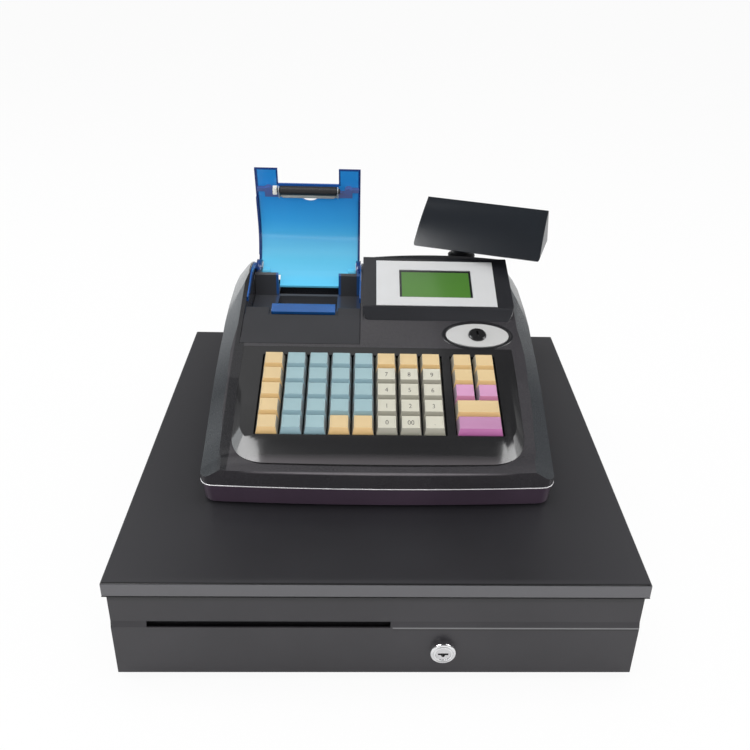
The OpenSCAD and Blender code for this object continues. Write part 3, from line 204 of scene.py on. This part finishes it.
def tint(surface, amount, colour):
    """Lays a second colour over a finish, by an amount from 0 to 1."""
    tree = surface.node_tree
    bsdf = tree.nodes["Principled BSDF"]
    below = bsdf.inputs["Base Color"].links[0].from_socket
    over = node(tree, "ShaderNodeMix", data_type="RGBA", in_Factor=amount, in_A=below,
                in_B=(*colour, 1))
    tree.links.new(over.outputs["Result"], bsdf.inputs["Base Color"])
    if bsdf.inputs["Emission Strength"].default_value:
        tree.links.new(over.outputs["Result"], bsdf.inputs["Emission Color"])


def facing(surface, direction, low, high):
    """0 to 1 as the surface turns towards a direction of its own body, between two cosines."""
    tree = surface.node_tree
    bend = node(tree, "ShaderNodeNewGeometry")
    own = node(tree, "ShaderNodeVectorTransform", vector_type="NORMAL", convert_from="WORLD",
               convert_to="OBJECT", in_Vector=bend.outputs["Normal"])
    lean = node(tree, "ShaderNodeVectorMath", operation="DOT_PRODUCT", in_0=own.outputs[0],
                in_1=direction)
    return node(tree, "ShaderNodeMapRange", interpolation_type="SMOOTHSTEP",
                in_Value=lean.outputs["Value"], in_From_Min=low, in_From_Max=high).outputs["Result"]


def along(surface, direction, low, high, steps="LINEAR"):
    """0 to 1 along a direction of the piece, between two distances in metres from the origin."""
    tree = surface.node_tree
    where = node(tree, "ShaderNodeTexCoord")
    far = node(tree, "ShaderNodeVectorMath", operation="DOT_PRODUCT",
               in_0=where.outputs["Object"], in_1=direction)
    return node(tree, "ShaderNodeMapRange", interpolation_type=steps,
                in_Value=far.outputs["Value"], in_From_Min=low, in_From_Max=high).outputs["Result"]


def combined(surface, operation, amounts):
    """Several amounts made one, by a sum that is done pair by pair."""
    out = amounts[0]
    for other in amounts[1:]:
        out = node(surface.node_tree, "ShaderNodeMath", operation=operation, in_0=out,
                   in_1=other).outputs[0]
    return out


def times(surface, *amounts):
    """Where all the amounts meet."""
    return combined(surface, "MULTIPLY", amounts)


def either(surface, *amounts):
    """Where any of the amounts is."""
    return combined(surface, "MAXIMUM", amounts)


smoothers = {}


def soft_shading(angle):
    """A node group that shades smooth over every edge that turns by less than the angle."""
    if angle not in smoothers:
        group = bpy.data.node_groups.new("soft_shading_%d" % angle, "GeometryNodeTree")
        for way in ("INPUT", "OUTPUT"):
            group.interface.new_socket("Geometry", in_out=way, socket_type="NodeSocketGeometry")
        first = group.nodes.new("NodeGroupInput")
        last = group.nodes.new("NodeGroupOutput")
        bend = node(group, "GeometryNodeInputMeshEdgeAngle")
        gentle = node(group, "FunctionNodeCompare", data_type="FLOAT", operation="LESS_THAN",
                      in_0=bend.outputs[0], in_1=math.radians(angle))
        faces = node(group, "GeometryNodeSetShadeSmooth", domain="FACE",
                     in_Geometry=first.outputs[0])
        edges = node(group, "GeometryNodeSetShadeSmooth", domain="EDGE",
                     in_Geometry=faces.outputs[0], in_Shade_Smooth=gentle.outputs[0])
        group.links.new(edges.outputs[0], last.inputs[0])
        smoothers[angle] = group
    return smoothers[angle]


def dress(name, material, bevel=0.0, angle=38, folded=False):
    """Gives a piece its finish, smooth curved faces and, where asked, softened edges."""
    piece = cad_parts[name]
    piece.data.materials.clear()
    piece.data.materials.append(material)
    for face in piece.data.polygons:
        face.material_index = 0
    join = piece.modifiers.new("join", "WELD")
    join.merge_threshold = 1e-5
    smooth = piece.modifiers.new("smooth", "NODES")
    smooth.node_group = soft_shading(angle)
    if bevel:
        soft = piece.modifiers.new("soften", "BEVEL")
        soft.width = bevel
        soft.segments = 3
        soft.limit_method = "ANGLE"
        soft.angle_limit = math.radians(angle)
        soft.use_clamp_overlap = True
        soft.harden_normals = folded
    if not folded:
        even = piece.modifiers.new("even", "WEIGHTED_NORMAL")
        even.keep_sharp = True


cabinet_paint = finish("cabinet_paint", (0.022, 0.0215, 0.024), 0.42, bump=0.06)
lid_paint = finish("lid_paint", (0.016, 0.0155, 0.0185), 0.36, bump=0.05)
# Painted light: the cover's top is painted lighter near its front and side folds.
lid_flat = facing(lid_paint, to_top, 0.9, 0.95)
lid_front = along(lid_paint, to_front, 0.196, 0.2065, "SMOOTHSTEP")
lid_sides = either(lid_paint, along(lid_paint, to_left, 0.10, 0.205),
                   along(lid_paint, to_right, 0.10, 0.205))
for lit_near_fold in (lid_front, lid_sides):
    tint(lid_paint, times(lid_paint, lit_near_fold, lid_flat), (0.034, 0.0335, 0.037))
# Painted light: the cover's front skirt is painted much lighter than its top, for the light falling
# on it from the front.
lit_lid_skirt = facing(lid_paint, to_front, 0.6, 0.8)
tint(lid_paint, lit_lid_skirt, (0.105, 0.104, 0.112))
# Painted shade: a dark line along the crease of the cover's front fold.
shaded_lid_fold = times(lid_paint, along(lid_paint, to_front, 0.2028, 0.2034),
                 facing(lid_paint, to_top, 0.6, 0.8))
tint(lid_paint, shaded_lid_fold, (0.003, 0.003, 0.004))
# Painted shade along the skirt's foot, over the gap above the drawer front.
shaded_skirt_foot = along(lid_paint, to_top, 0.0889, 0.0881)
tint(lid_paint, shaded_skirt_foot, (0.008, 0.008, 0.009))
dress("drawer_housing", cabinet_paint, angle=12, folded=True)
dress("drawer_lid", lid_paint, 0.0016, folded=True)
foot_rubber = finish("foot_rubber", (0.012, 0.012, 0.012), 0.8, grain=400, bump=0.15, spec=0.3)
dress("rubber_feet", foot_rubber)
zinc = finish("zinc", (0.60, 0.61, 0.62), 0.34, metal=1, grain=260, bump=0.08, stretch=(1, 0.08, 1))
for name in ("slide_outer", "slide_middle", "slide_inner", "release_solenoid", "latch_lever"):
    dress(name, zinc)


# ---------------------------------------------------------------- drawer
# The drawer's folded front with its media slot, the tray behind it, a grained plastic insert with
# loose scooped cups and note dividers, sprung steel clips, and a chrome lock nose.
def within(surface, direction, low, high, blur=0.0004):
    """1 between two distances along a direction, with soft ends."""
    return times(surface, along(surface, direction, low - blur, low + blur),
                 along(surface, direction, high + blur, high - blur))


front_paint = finish("front_paint", (0.030, 0.0285, 0.0325), 0.40, bump=0.06)
# Painted shade across the top of the front panel, under the cover's skirt.
shade_under_cover = along(front_paint, to_top, 0.0800, 0.0860)
tint(front_paint, shade_under_cover, (0.004, 0.004, 0.005))
# A painted highlight along the step's fold right of the slot, with a painted shade line just below
# it.
past_slot = along(front_paint, to_right, 0.0110, 0.0114)
step_highlight = within(front_paint, to_top, 0.0544, 0.0558, 0.0002)
tint(front_paint, times(front_paint, past_slot, step_highlight), (0.17, 0.17, 0.175))
step_shade = within(front_paint, to_top, 0.0532, 0.0541, 0.0002)
tint(front_paint, times(front_paint, past_slot, step_shade), (0.008, 0.008, 0.009))
dress("drawer_front", front_paint, angle=12, folded=True)
dress("drawer_tray", cabinet_paint, 0.0004, folded=True)
insert_plastic = finish("insert_plastic", (0.018, 0.018, 0.02), 0.5, grain=1500, bump=0.2)
dress("cash_insert", insert_plastic, 0.0006)
dress("note_dividers", insert_plastic, 0.0005)
cup_plastic = finish("cup_plastic", (0.024, 0.024, 0.027), 0.42, grain=1500, bump=0.15)
dress("coin_cups", cup_plastic, 0.0004)
dress("clip_rod", zinc)
clip_steel = finish("clip_steel", (0.5, 0.5, 0.51), 0.3, metal=1, grain=300, bump=0.06,
                    stretch=(0.1, 1, 1))
dress("bill_clips", clip_steel)
chrome = finish("chrome", (0.80, 0.80, 0.81), 0.09, spread=0.05, metal=1, grain=500, bump=0.01)
dress("lock_body", chrome, 0.0003)
plug_chrome = finish("plug_chrome", (0.66, 0.66, 0.67), 0.16, spread=0.08, metal=1, bump=0.02)
dress("lock_plug", plug_chrome, 0.0002)


# ---------------------------------------------------------------- register case
# Two injection-moulded halves in dark charcoal, semi-gloss, that meet at a rolled lip drawn as a
# light bead, a painted highlight. The leaning shoulders beside the keyboard carry a painted
# reflection of the room in blue-grey; painted highlights run along the top band's front bevel and
# the deck's front flank, with painted shade in the left gutter.
lower_plastic = finish("lower_plastic", (0.055, 0.037, 0.057), 0.34, grain=1200, bump=0.03,
                       coat=0.2)
upper_plastic = finish("upper_plastic", (0.033, 0.0310, 0.0350), 0.27, grain=2400, bump=0.006,
                       coat=0.3)
to_back = (0, 1, 0)
# Painted reflection on the leaning shoulders: dark blue-grey at the front, turning lighter towards
# the back, lighter on the left than on the right.
shoulder_reflection = {-1: (0.19, 0.20, 0.21), 1: (0.085, 0.090, 0.095)}
for way, reflection_tone in shoulder_reflection.items():
    shoulder = times(upper_plastic, facing(upper_plastic, (way * 0.86, 0, 0.5), 0.62, 0.90),
                     along(upper_plastic, (way, 0, 0), 0.118, 0.130),
                     along(upper_plastic, to_top, 0.124, 0.127))
    tint(upper_plastic, shoulder, (0.012, 0.016, 0.020))
    rearward = along(upper_plastic, to_back, -0.03, 0.14)
    tint(upper_plastic, times(upper_plastic, shoulder, rearward), reflection_tone)
# Painted shade in the gutter between the left shoulder and the deck.
shaded_left_gutter = times(upper_plastic, within(upper_plastic, to_right, -0.1325, -0.1238, 0.0006),
                    facing(upper_plastic, to_top, 0.75, 0.85))
tint(upper_plastic, shaded_left_gutter, (0.006, 0.006, 0.008))
# A painted highlight along the bevel at the top band's front edge.
front_bevel_highlight = times(upper_plastic, within(upper_plastic, to_top, 0.1336, 0.1350, 0.0003),
                    along(upper_plastic, to_front, 0.1120, 0.1128))
tint(upper_plastic, front_bevel_highlight, (0.12, 0.11, 0.12))
dress("lower_case", lower_plastic, 0.0008, angle=30)
dress("upper_case", upper_plastic, 0.0010, angle=20)
deck_plastic = finish("deck_plastic", (0.0095, 0.0095, 0.0105), 0.24, grain=1300, bump=0.02,
                      coat=0.3)
# A painted highlight along the foot of the deck's front flank.
deck_gutter_highlight = times(deck_plastic, along(deck_plastic, to_front, 0.0965, 0.1055, "SMOOTHSTEP"),
                    facing(deck_plastic, (0, -0.5, 0.86), 0.9, 0.97))
tint(deck_plastic, deck_gutter_highlight, (0.062, 0.056, 0.061))
dress("key_deck", deck_plastic, 0.0008, angle=30)
dress("switch_plate", finish("switch_plastic", (0.012, 0.012, 0.013), 0.5))
dress("circuit_board", finish("board", (0.010, 0.06, 0.025), 0.35, patch=60))
dress("power_inlet", finish("inlet_plastic", (0.01, 0.01, 0.011), 0.5, bump=0.05), 0.0004)


def solid(name, verts, faces, material, body):
    """A new piece from points and faces, riding on a body."""
    mesh = bpy.data.meshes.new(name)
    mesh.from_pydata([tuple(v) for v in verts], [], faces)
    mesh.materials.append(material)
    shape = bmesh.new()
    shape.from_mesh(mesh)
    bmesh.ops.recalc_face_normals(shape, faces=shape.faces)
    shape.to_mesh(mesh)
    shape.free()
    for face in mesh.polygons:
        face.use_smooth = True
    piece = bpy.data.objects.new(name, mesh)
    bpy.context.scene.collection.objects.link(piece)
    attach(piece, body)


def ring_faces(steps, points):
    """The faces of a closed ring, made of a number of steps with the same row of points each."""
    faces = []
    for i in range(steps):
        here, there = i * points, (i + 1) % steps * points
        for k in range(points):
            past = (k + 1) % points
            faces.append((here + k, here + past, there + past, there + k))
    return faces


# The rolled lip where the halves meet, a fine light-grey bead along the outline of the lower half's
# rim that stands for the lip's highlight: a painted highlight
lip_highlight = finish("lip_highlight", (0.75, 0.74, 0.76), 0.25, spread=0.1, metal=0.2, coat=0.5)
lip_z, lip_radius, lip_points = 0.1198, 0.0005, 8
seam_low, seam_high = 0.1192, 0.1203
case_middle = Vector((0, 0.04, lip_z))
rim = [v.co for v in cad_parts["lower_case"].data.vertices if seam_low < v.co.z < seam_high]
outline = [Vector((rim[i].x, rim[i].y, lip_z))
           for i in convex_hull_2d([Vector((p.x, p.y)) for p in rim])]
verts = []
for i, p in enumerate(outline):
    run = (outline[(i + 1) % len(outline)] - outline[i - 1]).normalized()
    out = Vector((run.y, -run.x, 0))
    if out.dot(p - case_middle) < 0:
        out = -out
    for k in range(lip_points):
        a = k * 2 * math.pi / lip_points
        lift = Vector((0, 0, lip_radius * math.sin(a)))
        verts.append(p + out * (lip_radius * math.cos(a)) + lift)
solid("case_lip", verts, ring_faces(len(outline), lip_points), lip_highlight, "cabinet")


# ---------------------------------------------------------------- keys
# Snap-on caps with printed digits on the number keys. Each cap's top, front, flanks and back carry
# tones painted for how the light falls on them; the flanks are also greyer where the clear outer
# shell runs down. Eight columns stand on the deck's slope, two more to the right.
mm = 0.001
case_front, case_base = 114.75, 100
slope = math.radians(16)
slope_rise = 40.3
first_column, column_pitch = -94.4, 20.24
first_row, row_pitch, cap_height = 44.4, 19.04, 5
columns = 8
key_up = (0, -math.sin(slope), math.cos(slope))
key_front = (0, -math.cos(slope), -math.sin(slope))
key_back = (0, math.cos(slope), math.sin(slope))


def flanks(surface):
    """A cap's left and right sides."""
    return either(surface, *[facing(surface, way, 0.45, 0.8) for way in (to_right, to_left)])


def lit_cap_finish(name, colour, front, flank):
    """A cap's plastic, with tones painted on the top, the front, the flanks and the back for how
    the light falls on each.
    """
    cap = finish(name, colour, 0.3, spread=0.05, grain=800, bump=0.02, coat=0.3)
    # Painted light: the front, the flanks and the back get their own lit or shaded tones.
    tint(cap, facing(cap, key_front, 0.3, 0.7), front)
    tint(cap, flanks(cap), flank)
    tint(cap, facing(cap, key_back, 0.3, 0.7), flank)
    return cap


def key_place(k):
    """The middle of a cap's top, counted along the rows from the front left one, in metres."""
    x = first_column + k % columns * column_pitch
    up = k // columns * row_pitch
    back = first_row + up * math.cos(slope) - cap_height * math.sin(slope)
    high = (slope_rise + first_row * math.tan(slope) + up * math.sin(slope)
            + cap_height * math.cos(slope))
    return Vector([length * mm for length in (x, back - case_front, high + case_base)])


cream = ((0.60, 0.45, 0.24), (0.77, 0.52, 0.235), (0.46, 0.42, 0.34))
blue = ((0.27, 0.40, 0.43), (0.28, 0.43, 0.485), (0.34, 0.39, 0.41))
cream_cap = lit_cap_finish("cream_cap", *cream)
blue_cap = lit_cap_finish("blue_cap", *blue)
beige_cap = lit_cap_finish("beige_cap", (0.52, 0.505, 0.42), (0.38, 0.365, 0.30), (0.34, 0.33, 0.29))
pink_cap = lit_cap_finish("pink_cap", (0.54, 0.27, 0.44), (0.57, 0.22, 0.37), (0.44, 0.34, 0.41))
rose_cap = lit_cap_finish("rose_cap", (0.42, 0.20, 0.35), (0.50, 0.15, 0.38), (0.42, 0.30, 0.38))
mixed_cap = lit_cap_finish("mixed_cap", *blue)
front_row = along(mixed_cap, to_back, key_place(3).y + 0.0102, key_place(3).y + 0.0098)
tint(mixed_cap, front_row, cream[0])
# The cream front row gets the same painted front and flank tones.
tint(mixed_cap, times(mixed_cap, front_row, facing(mixed_cap, key_front, 0.3, 0.7)), cream[1])
tint(mixed_cap, times(mixed_cap, front_row, flanks(mixed_cap)), cream[2])

# The sign on each number cap, and the cap's place
digits = {
    "key_0": ("0", 5), "key_00": ("00", 6), "key_point": (".", 7),
    "key_1": ("1", 13), "key_2": ("2", 14), "key_3": ("3", 15),
    "key_4": ("4", 21), "key_5": ("5", 22), "key_6": ("6", 23),
    "key_7": ("7", 29), "key_8": ("8", 30), "key_9": ("9", 31),
}
caps = {name: beige_cap for name in digits}
caps.update(key_total=cream_cap, key_cash=rose_cap, keys_right_low=pink_cap,
            keys_right_upper=cream_cap, keys_function=cream_cap, keys_blue_a=blue_cap,
            keys_blue_b=mixed_cap)
for name, cap in caps.items():
    dress(name, cap, 0.0005, angle=30, folded=True)

print_ink = finish("print_ink", (0.035, 0.028, 0.035), 0.4, spread=0.1)
digit_size, ink_thickness, digit_sink, digit_width = 0.0074, 0.00006, 0.00046, 0.8
for name, (sign, k) in digits.items():
    line = bpy.data.curves.new("digit_line", "FONT")
    line.body = sign
    line.size = digit_size
    line.align_x = "CENTER"
    line.align_y = "CENTER"
    line.extrude = ink_thickness
    line.offset = -ink_thickness
    drawn = bpy.data.objects.new("digit_line", line)
    bpy.context.scene.collection.objects.link(drawn)
    bpy.context.view_layer.update()
    evaluated = drawn.evaluated_get(bpy.context.evaluated_depsgraph_get())
    mesh = bpy.data.meshes.new_from_object(evaluated)
    bpy.data.objects.remove(drawn)
    middle = key_place(k) - Vector(key_up) * digit_sink
    mesh.transform(Matrix.Translation(middle) @ Matrix.Rotation(slope, 4, "X")
                   @ Matrix.Diagonal((digit_width, 1, 1, 1)))
    mesh.materials.clear()
    mesh.materials.append(print_ink)
    legend = bpy.data.objects.new("digit_" + name[4:], mesh)
    bpy.context.scene.collection.objects.link(legend)
    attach(legend, name)


# ---------------------------------------------------------------- receipt printer
# A flat cover plate in front, the paper bin with its two hinge towers, the print mechanism, a blue
# serrated tear bar and blue trim strips along the bay's shoulders.
cover_plastic = finish("cover_plastic", (0.018, 0.0185, 0.022), 0.3, grain=1300, bump=0.02,
                       coat=0.2)
dress("printer_cover", cover_plastic, 0.0005)
blue_gloss = finish("blue_gloss", (0.010, 0.085, 0.29), 0.2, spread=0.2, coat=0.3)
dress("tear_bar", blue_gloss, 0.0003)
dress("bay_trim", finish("trim_blue", (0.012, 0.09, 0.33), 0.2, coat=0.4))
bin_plastic = finish("bin_plastic", (0.048, 0.0495, 0.0560), 0.4, bump=0.04)
for tower_low, tower_high in ((-0.106, -0.1025), (-0.0420, -0.0385), (-0.0215, -0.0170)):
    tower_side = times(bin_plastic, within(bin_plastic, to_right, tower_low, tower_high, 0.0006),
                       along(bin_plastic, to_top, 0.171, 0.175))
    tint(bin_plastic, tower_side, (0.012, 0.085, 0.30))
dress("paper_bin", bin_plastic, 0.0006)
dress("print_head", finish("printer_metal", (0.30, 0.31, 0.33), 0.4, metal=1), 0.0003)


# ---------------------------------------------------------------- printer door
# A translucent blue door, standing open. The light coming through its thin skin is painted: a faint
# glow, painted lighter towards the hinge and darker under the notch; its thicker edges look navy.
# Blue mounts with a faint painted glow carry a steel yoke with the platen and its gear.
door_left, door_right = -126.7 * mm, -18.9 * mm
notch_left, notch_right = -103.3 * mm, -41.1 * mm
door_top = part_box("paper_door")[1][2]
# Painted light: a faint glow stands for the light coming through the thin skin.
door_blue = finish("door_blue", (0.018, 0.20, 0.54), 0.16, spread=0.05, coat=0.5, glow=0.22)
# Painted lighter towards the hinge.
lit_half_way = along(door_blue, to_top, door_top - 0.020, door_top - 0.072, "SMOOTHSTEP")
tint(door_blue, lit_half_way, (0.040, 0.34, 0.72))
lit_near_hinge = along(door_blue, to_top, door_top - 0.055, door_top - 0.105, "SMOOTHSTEP")
tint(door_blue, lit_near_hinge, (0.120, 0.52, 0.76))
# Painted shade under the notch.
shaded_under_notch = times(door_blue, within(door_blue, to_top, door_top - 21 * mm, door_top - 15.5 * mm),
                    within(door_blue, to_right, notch_left, notch_right))
tint(door_blue, shaded_under_notch, (0.014, 0.09, 0.36))
side_rims = either(door_blue,
                   along(door_blue, to_right, door_left + 3.4 * mm, door_left + 2.2 * mm),
                   along(door_blue, to_right, door_right - 2.8 * mm, door_right - 1.8 * mm))
tip_rims = along(door_blue, to_top, door_top - 2.2 * mm, door_top - 1.0 * mm)
notch_rims = times(door_blue, along(door_blue, to_top, door_top - 19 * mm, door_top - 18 * mm),
                   either(door_blue,
                          within(door_blue, to_right, notch_left - 1.6 * mm, notch_left),
                          within(door_blue, to_right, notch_right, notch_right + 1.6 * mm)))
tint(door_blue, either(door_blue, side_rims, tip_rims, notch_rims), (0.008, 0.028, 0.13))
dress("paper_door", door_blue, 0.0004)
# The blue mounts glow faintly: painted light.
bracket_blue = finish("bracket_blue", (0.012, 0.055, 0.26), 0.25, coat=0.3, glow=0.05)
dress("platen_bracket", bracket_blue, 0.0003)
yoke_steel = finish("yoke_steel", (0.46, 0.48, 0.49), 0.35, metal=0.35, grain=300, bump=0.05)
dress("platen_yoke", yoke_steel, 0.0002)
roller_rubber = finish("roller_rubber", (0.010, 0.010, 0.012), 0.5, bump=0.05)
tree = roller_rubber.node_tree
rings = node(tree, "ShaderNodeTexWave", wave_type="BANDS", bands_direction="X",
             in_Vector=node(tree, "ShaderNodeTexCoord").outputs["Object"], in_Scale=180)
ridges = node(tree, "ShaderNodeBump", in_Strength=0.35, in_Distance=0.0004,
              in_Height=rings.outputs["Fac"])
tree.links.new(ridges.outputs["Normal"], tree.nodes["Principled BSDF"].inputs["Normal"])
dress("platen_roller", roller_rubber)
dress("platen_gear", finish("gear_white", (0.8, 0.8, 0.76), 0.4), 0.0001)

# Bent steel guide on the yoke's front edge, under the roller
guide_front, guide_back = 175.95, 176.65
guide_outline = ((-100.2, 274.4), (-44.2, 274.4), (-45.2, 272.4), (-46.6, 271.5), (-97.8, 271.5),
                 (-99.2, 272.4))
verts = [Vector((x, y, z)) * mm for y in (guide_front, guide_back) for x, z in guide_outline]
n = len(guide_outline)
faces = [(k, (k + 1) % n, (k + 1) % n + n, k + n) for k in range(n)]
faces += [tuple(range(n)), tuple(range(2 * n - 1, n - 1, -1))]
guide_steel = finish("guide_steel", (0.30, 0.325, 0.32), 0.35, metal=0.2, grain=300, bump=0.05)
# A painted highlight: the guide is lighter towards its lower bent edge.
tint(guide_steel, along(guide_steel, to_top, 0.2745, 0.2715), (0.50, 0.52, 0.51))
solid("platen_guide", verts, faces, guide_steel, "door")

# Half-round hinge ears that close the space between the bin's towers and the door's side walls
ear_blue = finish("ear_blue", (0.010, 0.040, 0.17), 0.25, coat=0.3)
hinge_y, hinge_z = 177.26, 189.69
ear_bore, ear_radius, ear_steps = 1.9, 12.6, 16
ear_inside, ear_outside, far_inside, far_outside = (n * (ear_steps + 1) for n in range(4))
for side, ends in (("left", (-127.9, -122.9)), ("right", (-22.7, -17.7))):
    verts = []
    for x in ends:
        for radius in (ear_bore, ear_radius):
            for k in range(ear_steps + 1):
                a = math.radians(180 * k / ear_steps)
                verts.append(Vector((x, hinge_y + radius * math.cos(a),
                                     hinge_z + radius * math.sin(a))) * mm)
    faces = []
    for k in range(ear_steps):
        for a, b in ((ear_inside, ear_outside), (far_outside, far_inside),
                     (ear_outside, far_outside), (far_inside, ear_inside)):
            faces.append((a + k, a + k + 1, b + k + 1, b + k))
    for k in (0, ear_steps):
        faces.append((ear_inside + k, ear_outside + k, far_outside + k, far_inside + k))
    solid("hinge_ear_" + side, verts, faces, ear_blue, "cabinet")


# ---------------------------------------------------------------- displays and mode lock
# A wedge-shaped housing with a silver plate round a green display, an oval silver mode plate with a
# black key lock in a dished rim, and the customer's display on its turning neck.
# The housing's sharp edges carry a painted highlight.
pod_plastic = finish("pod_plastic", (0.013, 0.0135, 0.0165), 0.25, grain=1300, bump=0.02, coat=0.2,
                     edge_glint=0.5)
dress("display_housing", pod_plastic, 0.0012)
bezel_silver = finish("bezel_silver", (0.66, 0.665, 0.67), 0.3, spread=0.04, metal=0.3, bump=0.02)
dress("display_bezel", bezel_silver, 0.0002)

# The glass, with a black surround inside the silver plate, along the housing's own slope
pod_slope = math.radians(18)
up_pod = (0, math.cos(pod_slope), math.sin(pod_slope))
plate_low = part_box("display_bezel")[0]
plate_foot = Vector((0, plate_low[1], plate_low[2])).dot(Vector(up_pod))
glass_middle, glass_half = 56.6, 35.7
glass_left, glass_right = (glass_middle - glass_half) * mm, (glass_middle + glass_half) * mm
glass_foot, glass_head = plate_foot + 12 * mm, plate_foot + 52.5 * mm
lcd_green = finish("lcd_green", (0.055, 0.165, 0.020), 0.15, spread=0.05, coat=0.5)
upper_half = along(lcd_green, up_pod, glass_foot + 0.012, glass_head, "SMOOTHSTEP")
tint(lcd_green, upper_half, (0.050, 0.150, 0.020))
surround = either(lcd_green,
                  along(lcd_green, to_right, glass_left + 2.4 * mm, glass_left + 2.0 * mm),
                  along(lcd_green, to_right, glass_right - 2.4 * mm, glass_right - 2.0 * mm),
                  along(lcd_green, up_pod, glass_foot + 1.7 * mm, glass_foot + 1.3 * mm),
                  along(lcd_green, up_pod, glass_head - 2.6 * mm, glass_head - 2.2 * mm))
tint(lcd_green, surround, (0.006, 0.008, 0.008))
dress("display_glass", lcd_green)

mode_silver = finish("mode_silver", (0.58, 0.58, 0.575), 0.3, spread=0.05, metal=0.3)
dress("mode_plate", mode_silver, 0.0002)
dress("mode_lock", finish("mode_black", (0.006, 0.006, 0.007), 0.2, coat=0.5), 0.0003)

# The dished rim round the mode plate
mode_x, mode_back, mode_half_width, mode_half_length = 93.5, 155, 29.7, 15.9
rim_section = ((0.8, -0.10), (1.1, 0.22), (2.2, 0.12), (3.4, 0.42), (4.0, 0.30), (4.3, -0.10))
rim_steps = 96
mode_middle = Vector((mode_x, mode_back - case_front,
                      case_base + slope_rise + mode_back * math.tan(slope))) * mm
tilt = Matrix.Rotation(slope, 3, "X")
verts = []
for i in range(rim_steps):
    a = i * 2 * math.pi / rim_steps
    for grow, high in rim_section:
        verts.append(mode_middle + tilt @ (Vector((
            (mode_half_width + grow) * math.cos(a), (mode_half_length + grow) * math.sin(a),
            high)) * mm))
rim_black = finish("rim_black", (0.009, 0.009, 0.011), 0.22, coat=0.4)
solid("mode_rim", verts, ring_faces(rim_steps, len(rim_section)), rim_black, "cabinet")

# The customer's display; its end faces are duller than its front
dress("display_neck", finish("neck_plastic", (0.008, 0.008, 0.009), 0.3), 0.0004)
head_plastic = finish("head_plastic", (0.009, 0.0115, 0.0155), 0.2, grain=1300, bump=0.006)
head_end = facing(head_plastic, (0.97, -0.2, 0), 0.5, 0.8)
tree = head_plastic.node_tree
sheen = node(tree, "ShaderNodeMapRange", in_Value=head_end, in_To_Min=0.6, in_To_Max=0.1)
tree.links.new(sheen.outputs["Result"], tree.nodes["Principled BSDF"].inputs["Specular IOR Level"])
dress("display_head", head_plastic, 0.0012)
dress("display_window", finish("window_dark", (0.02, 0.004, 0.004), 0.08, coat=0.5))
